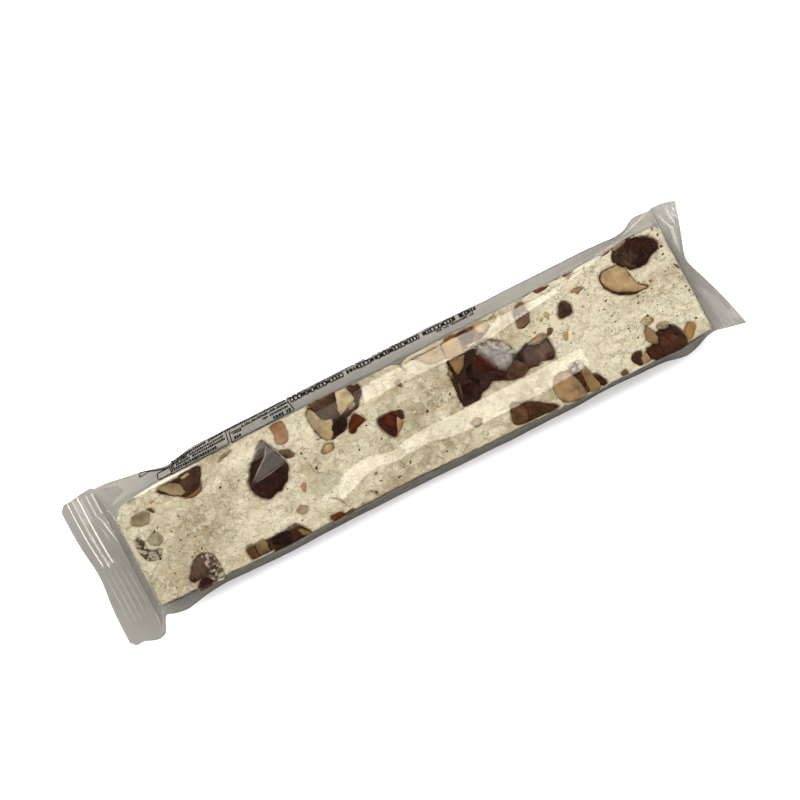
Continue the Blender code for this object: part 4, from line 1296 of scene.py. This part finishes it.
def nougat(rings, kinds):
    """The nougat with its uneven cut top; gives back its surface."""
    grid = nougat_grid()
    stations, size = grid.shape[:2]
    points = grid.reshape(-1, 3)
    swells, grain = noise(points, 7.0, 2, 11), noise(points, 1.9, 3, 12)
    pits = ramp(0.45, 0.95, noise(points, 2.2, 2, 13))
    dents = ramp(0.45, 0.9, noise(points * (1.0, 0.5, 1.0), 4.5, 2, 17))
    relief = 0.12 * swells + 0.11 * grain - 0.40 * pits - 0.35 * dents
    shake = np.stack([noise(points, 1.1, 2, 14), noise(points, 1.1, 2, 15)], axis=-1)
    flat = points[:, :2] + 0.25 * shake
    on_top = points[:, 2] > TOP_FROM
    sunk, stain_and_shade = set_in(points, flat, on_top, rings, kinds)
    points = points + normals_of(grid).reshape(-1, 3) * (relief - sunk)[:, None]
    ragged = noise(points, 3.0, 3, 19)
    points[:, 2] = np.clip(points[:, 2], NOUGAT_BASE - 0.05, NOUGAT_TOP + 0.2)
    marks = {**nougat_marks(points, flat, on_top, ragged), "stain_and_shade": stain_and_shade}
    last = (stations - 1) * size
    faces = [*tube_faces(stations, size), tuple(range(size))[::-1], tuple(range(last, last + size))]
    made = mesh_object("nougat", points, faces, nougat_material(), marks=marks)
    return points.reshape(stations, size, 3)


# ---------------------------------------------------------------- almonds, caramel and crumbs


CHUNK_TOP = 12.86  # the lowest piece's top
CHUNK_STEP = 0.003  # how much higher each next piece lies
CHUNK_MESH, FROST_MESH = 0.45, 0.22  # how far apart their points are
WALL = ((1.02, 0.12), (0.98, 0.5), (0.75, 0.9), (0.4, 1.0))  # going down: how wide, and how deep
CRISP, CRISP_CARAMEL = 38, 32  # edges sharper than this many degrees stay sharp

# The sub-parts that the pieces are joined to: name, kinds, material, slot and crispness.
GROUPS = (
    ("almond_pieces", ("almond", "frost"), almond_material, "almond", CRISP),
    ("almond_skins", ("skin", "rind", "dark_skin"), skin_material, "almond", CRISP),
    ("caramel_pieces", ("caramel", "amber"), caramel_material, "caramel", CRISP_CARAMEL),
)


def facets(points, seed, steep):
    """How far a broken top drops below its middle facet."""
    draw = np.random.default_rng(seed)
    middle, radius = points.mean(axis=0), np.ptp(points, axis=0).mean() / 2
    turns = draw.uniform(0, 6.28) + np.arange(6) * 6.28 / 6 + draw.normal(0, 0.25, 6)
    drop = np.zeros(len(points))
    for turn in turns:
        out = (points - middle) @ (math.cos(turn), math.sin(turn))
        drop = np.maximum(drop, steep * draw.uniform(0.4, 1.3) * (out - radius * draw.uniform(-0.1, 0.7)))
    return drop


def chunk_top(kind, flat, inside, seed):
    """How far the top of a piece lies below its highest level."""
    rim = 0.25 * ramp(0.5, 0.0, inside) ** 2
    if kind in ("caramel", "amber"):
        return rim + facets(flat, seed, 0.5) + 0.2 * abs(noise(flat, 2.0, 2, seed))
    if kind == "dark_skin":
        wrinkles = abs(noise(flat * (0.8, 0.35), 1.3, 2, seed))
        return 1.6 * rim + 0.9 * ramp(2.6, 0.0, inside) ** 2 + 0.22 * wrinkles
    if kind == "frost":
        return rim + 0.4 * abs(noise(flat, 1.6, 3, seed))
    if kind == "rind":
        return rim + 0.75
    return rim + facets(flat, seed, 0.07) + 0.08 * abs(noise(flat, 1.5, 2, seed))


def chunk_colour(kind, colour, flat, inside, seed):
    """The colour of each point of a piece's top."""
    base = np.array(under_film(*colour))
    shade = 1 + 0.4 * noise(flat, 2.2, 4, seed + 5)
    made = base * shade[:, None]
    if kind == "almond":
        skin = np.array(under_film(92, 58, 34))
        edge = 0.75 * ramp(0.34, 0.05, inside) * ramp(-0.5, 0.3, noise(flat, 4, 1, seed + 6))
        made = made * (1 - edge[:, None]) + skin * edge[:, None]
    elif kind == "frost":
        powder = ramp(-0.15, 0.2, noise(flat, 0.8, 3, seed + 7))[:, None]
        made = made * 0.45 * (1 - powder) + np.array(under_film(178, 168, 146)) * powder
    elif kind in ("caramel", "dark_skin"):
        glow = ramp(0.9, 0.0, inside)[:, None] * 0.3
        made = made * (1 + glow * (1.6, 0.7, 0.4))
    return np.clip(made, 0.002, 0.85)


def chunk(kind, colour, ring, top, seed):
    """A piece set in the nougat: its shaped top inside the ring, and its sides going down."""
    where, faces, rim = filled(ring, FROST_MESH if kind == "frost" else CHUNK_MESH)
    inside = np.maximum(inside_by(where, ring), 0)
    inside[rim] = 0
    z = top - chunk_top(kind, where, inside, seed)
    colours = chunk_colour(kind, colour, where, inside, seed)
    middle = ring.mean(axis=0)
    deep = min(7.0, 2.0 + 0.5 * np.ptp(ring, axis=0).mean())
    points, tints = [np.column_stack([where, z])], [colours]
    for wide, drop in WALL:
        wall = middle + (where[rim] - middle) * wide
        points.append(np.column_stack([wall, z[rim] - drop * deep]))
        tints.append(colours[rim])
    first, count = len(where), len(rim)
    levels = [rim, *(range(first + k * count, first + (k + 1) * count) for k in range(len(WALL)))]
    for upper, lower in zip(levels, levels[1:]):
        faces += [(upper[i - 1], lower[i - 1], lower[i], upper[i]) for i in range(count)]
    faces.append(tuple(levels[-1])[::-1])
    return np.concatenate(points), faces, np.concatenate(tints)


def joined(name, parts, material, crisp=None):
    """One mesh piece from many (points, faces, colours)."""
    points, faces, colours = merged(parts)
    made = mesh_object(name, points, faces, material, colours=colours, crisp=crisp)


def toppings(pieces):
    """Every piece, each next one a hair higher, joined by kind."""
    made = [(kind, chunk(kind, colour, ring, CHUNK_TOP + CHUNK_STEP * i, 100 + 9 * i))
            for i, (kind, colour, ring) in enumerate(pieces)]
    for name, kinds, material, slot, crisp in GROUPS:
        joined(name, [part for kind, part in made if kind in kinds], material(), crisp)


def blob(at, length, width, turn, height, seed, sides=9):
    """A small flattened lump."""
    draw = np.random.default_rng(seed)
    angle = np.arange(sides) / sides * 2 * math.pi
    radius = draw.uniform(0.75, 1.2, sides)
    rings = []
    c, s = math.cos(math.radians(turn)), math.sin(math.radians(turn))
    for wide, z in ((1.0, -0.6), (0.92, 0.25), (0.55, 0.85)):
        x = length / 2 * wide * radius * np.cos(angle)
        y = width / 2 * wide * radius * np.sin(angle)
        rings.append(np.column_stack([x * c - y * s, x * s + y * c, np.full(sides, z * height)]))
    points = np.concatenate([*rings, [(0, 0, height)]]) + at
    faces = [tuple(row) for row in tube_faces(3, sides)]
    faces += [(2 * sides + i, 2 * sides + (i + 1) % sides, 3 * sides) for i in range(sides)]
    faces.append(tuple(range(sides))[::-1])
    return points, faces


def height_at(surface, x, y):
    """The nougat's top at (x, y)."""
    station = int(np.argmin(abs(surface[:, surface.shape[1] // 2, 0] - x)))
    ring = surface[station]
    high = ring[ring[:, 2] > 10]
    return high[np.argmin(abs(high[:, 1] - y)), 2]


BIT_HEIGHT, CRUMB_HEIGHT = 0.22, 0.09
CRUMB_COUNT = 460
CRUMB_COLOURS = (
    (52, 42, 30), (80, 58, 40), (128, 80, 48), (166, 112, 66), (110, 92, 66), (184, 148, 96), (150, 86, 50),
)


def plain(points, faces, colour):
    """A part whose points all have one colour."""
    return points, faces, np.tile(under_film(*colour), (len(points), 1))


def bits(surface):
    """The bits, and the crumbs that three in five times lie towards the right end."""
    parts = []
    for i, (colour, x, y, length, width, turn) in enumerate(BITS):
        made = blob((x, y, height_at(surface, x, y)), length, width, turn, BIT_HEIGHT, i)
        parts.append(plain(*made, colour))
    draw = np.random.default_rng(7)
    for i in range(CRUMB_COUNT):
        x, y = draw.uniform(-98.5, 98.5), draw.uniform(-19, 16)
        size = 0.2 + 0.45 * draw.random() ** 3
        if i % 5 < 3:
            x = 99 - 62 * draw.random() ** 1.4
        colour = CRUMB_COLOURS[draw.integers(len(CRUMB_COLOURS))]
        turn = draw.uniform(0, 180)
        at = (x, y, height_at(surface, x, y) - 0.02)
        parts.append(plain(*blob(at, size * 1.3, size, turn, CRUMB_HEIGHT, 500 + i, 6), colour))
    joined("crumbs", parts, crumb_material(), None)


STONE_RINGS, STONE_SIDES = 9, 14
STONE_END = 99.7
STONE_COUNTS = {"near": 26, "far": 26, "under": 46, "left": 5, "right": 5}
DARK_STONES = 0.4  # the share of them that is caramel
STONE_COLOURS = {
    "almond": ((168, 136, 96), (140, 100, 62), (186, 152, 108)),
    "caramel": ((70, 36, 22), (52, 26, 16)),
}


def lumpy(shape, turn):
    """A lump of these half sizes round the origin; turn picks its unevenness."""
    down = np.linspace(0.15, math.pi - 0.15, STONE_RINGS)
    round_it = np.arange(STONE_SIDES) / STONE_SIDES * 2 * math.pi
    lat, lon = np.meshgrid(down, round_it, indexing="ij")
    unit = np.stack([np.sin(lat) * np.cos(lon), np.sin(lat) * np.sin(lon), np.cos(lat)], axis=-1)
    unit = unit * (1 + 0.28 * noise(unit * 2 + turn, 1.1, 2, 31))[..., None]
    faces = [*tube_faces(STONE_RINGS, STONE_SIDES), tuple(range(STONE_SIDES))[::-1]]
    faces.append(tuple(range((STONE_RINGS - 1) * STONE_SIDES, STONE_RINGS * STONE_SIDES)))
    return unit * shape, faces


def stone_place(wall, x, y, z, share):
    """The middle of a lump on a wall of the nougat; share is how far along an end it lies."""
    near, far = nougat_edges(x)
    across = -15 + 28 * share
    places = {
        "near": (x, -near, z), "far": (x, far, z), "under": (x, y, NOUGAT_BASE),
        "left": (-STONE_END, across, z), "right": (STONE_END, across, z),
    }
    return places[wall]


def flush(lump, wall):
    """The lump's points, kept from standing out of the nougat."""
    x, y, z = lump.reshape(-1, 3).T
    if wall in ("near", "far", "under"):
        near, far = nougat_edges(np.clip(x, -99, 99))
        y = np.clip(y, -near - 0.2, far + 0.2)
    x = np.clip(x, -NOUGAT_HALF - 0.42, NOUGAT_HALF + 0.42)
    return np.column_stack([x, y, np.clip(z, NOUGAT_BASE - 0.17, 9.6)])


def side_stones():
    """Almonds and caramel that show in the sides, the ends and the underside, cut flush with them."""
    draw = np.random.default_rng(21)
    parts = {"almond": [], "caramel": []}
    for wall, count in STONE_COUNTS.items():
        for k in range(count):
            size = draw.uniform(1.1, 4.2)
            shape = size * draw.uniform(0.6, 1.2, 3)
            x = -96 + 192 * (k + draw.uniform(0.1, 0.9)) / count
            y, z = draw.uniform(-18, 14), draw.uniform(2.5, 7.0)
            lump, faces = lumpy(shape, k * 7.7 + size)
            lump = flush(lump + stone_place(wall, x, y, z, (k + 0.5) / count), wall)
            kind = "caramel" if draw.random() < DARK_STONES else "almond"
            colour = STONE_COLOURS[kind][k % len(STONE_COLOURS[kind])]
            _, _, tints = plain(lump, faces, colour)
            tints = tints * (1 + 0.2 * noise(lump, 2.0, 2, 33))[:, None]
            parts[kind].append((lump, faces, np.clip(tints, 0.003, 0.85)))
    joined("side_almonds", parts["almond"], almond_material(), CRISP)
    joined("side_caramel", parts["caramel"], caramel_material(), CRISP)


# ---------------------------------------------------------------- stage

SENSOR = 36.0
FLOOR_HALF, FLOOR_DROP = 1.5, 0.0004  # in metres; the floor lies just under the table's height
SKY = 0.04


def camera():
    """Straight above the bar, turned so that the bar lies slanting in the picture."""
    data = bpy.data.cameras.new("camera")
    data.sensor_width = SENSOR
    data.lens = SENSOR * CAMERA_ABOVE / FRAME_WIDTH
    data.clip_start = 0.01
    made = placed("camera", data)
    made.location = (np.array([*LOOKS_AT, PACK_HEIGHT + CAMERA_ABOVE]) + SHIFT) * MM
    made.rotation_euler = (0, 0, ROLL)
    bpy.context.scene.camera = made


BAR_MIDDLE = (0, 0, 6)


def area_light(name, at, size, power, aim=BAR_MIDDLE, mirrored_by_film=True):
    """A rectangle of light that faces a point, with its length along X."""
    data = bpy.data.lights.new(name, "AREA")
    data.shape = "RECTANGLE"
    data.size, data.size_y = size[0] * MM, size[1] * MM
    data.energy = power
    made = placed(name, data)
    made.visible_glossy = mirrored_by_film
    at = np.array(at, float)
    away = at - np.array(aim, float)
    away /= np.linalg.norm(away)
    side = np.array([1.0, 0, 0]) - away * away[0]
    side /= np.linalg.norm(side)
    turned = Matrix(np.column_stack([side, np.cross(away, side), away]).tolist())
    made.matrix_world = Matrix.Translation((at + SHIFT) * MM) @ turned.to_4x4()


# Four big panels light the pack from all sides but straight above, which the film would mirror.
PANELS = (
    ("panel_far", (0, 600, 850), (1700, 800), 30.0, False),
    ("panel_near", (0, -700, 800), (1700, 800), 1.2, False),
    ("panel_left", (-950, 0, 800), (250, 900), 9.5, True),
    ("panel_right", (950, 0, 800), (250, 900), 9.5, True),
)
# The narrow strips nearly overhead: where the bands they make start and end along X, and how bright.
STRIPS = (
    ("strip_far", FAR_STRIP, -10, 60, 6.8), ("strip_far_faint", FAR_STRIP, -62, -10, 1.2),
    ("strip_near", NEAR_STRIP, -24, 59.5, 6.4), ("strip_near_left", NEAR_STRIP, -36, -24, 2.4),
    ("strip_near_faint", NEAR_STRIP, -76, -36, 1.4),
)


def mirrored(x):
    """How far along the strips the camera's look at the flat of the film at x goes."""
    return x + (x - LOOKS_AT[0]) * REACH


def stage():
    """The white floor, the lights and the tone of the picture."""
    floor = placed("floor", bpy.data.meshes.new("floor"))
    corners = [(x * FLOOR_HALF, y * FLOOR_HALF, 0) for x, y in ((-1, -1), (1, -1), (1, 1), (-1, 1))]
    floor.data.from_pydata(corners, [], [(0, 1, 2, 3)])
    floor.data.materials.append(floor_material())
    floor.location.z = -FLOOR_DROP
    world = bpy.data.worlds.new("world")
    world.use_nodes = True
    sky = world.node_tree.nodes["Background"]
    sky.inputs["Color"].default_value = (1, 1, 1, 1)
    sky.inputs["Strength"].default_value = SKY
    bpy.context.scene.world = world
    bpy.context.scene.view_settings.view_transform = "Standard"
    for label, at, size, power, mirrored_by_film in PANELS:
        area_light(label, at, size, power, mirrored_by_film=mirrored_by_film)
    for label, (near, far), start, end, radiance in STRIPS:
        size = mirrored(end) - mirrored(start), far - near
        at = (mirrored(start) + mirrored(end)) / 2, (near + far) / 2, PACK_HEIGHT + STRIP_ABOVE
        area_light(label, at, size, radiance * math.pi * size[0] * size[1] * MM * MM, (at[0], at[1], 0))


camera()
stage()
grid, haze_and_sheen = wrinkled(film_grid())
film(grid, haze_and_sheen)
height = film_sampler(grid)
film_print(height)
creases(height)
pieces = [
    (kind, colour, loop(corners, softness, i)) for i, (kind, colour, softness, corners) in enumerate(PIECES)
]
surface = nougat([ring for _, _, ring in pieces], [kind for kind, _, _ in pieces])
toppings(pieces)
bits(surface)
side_stones()
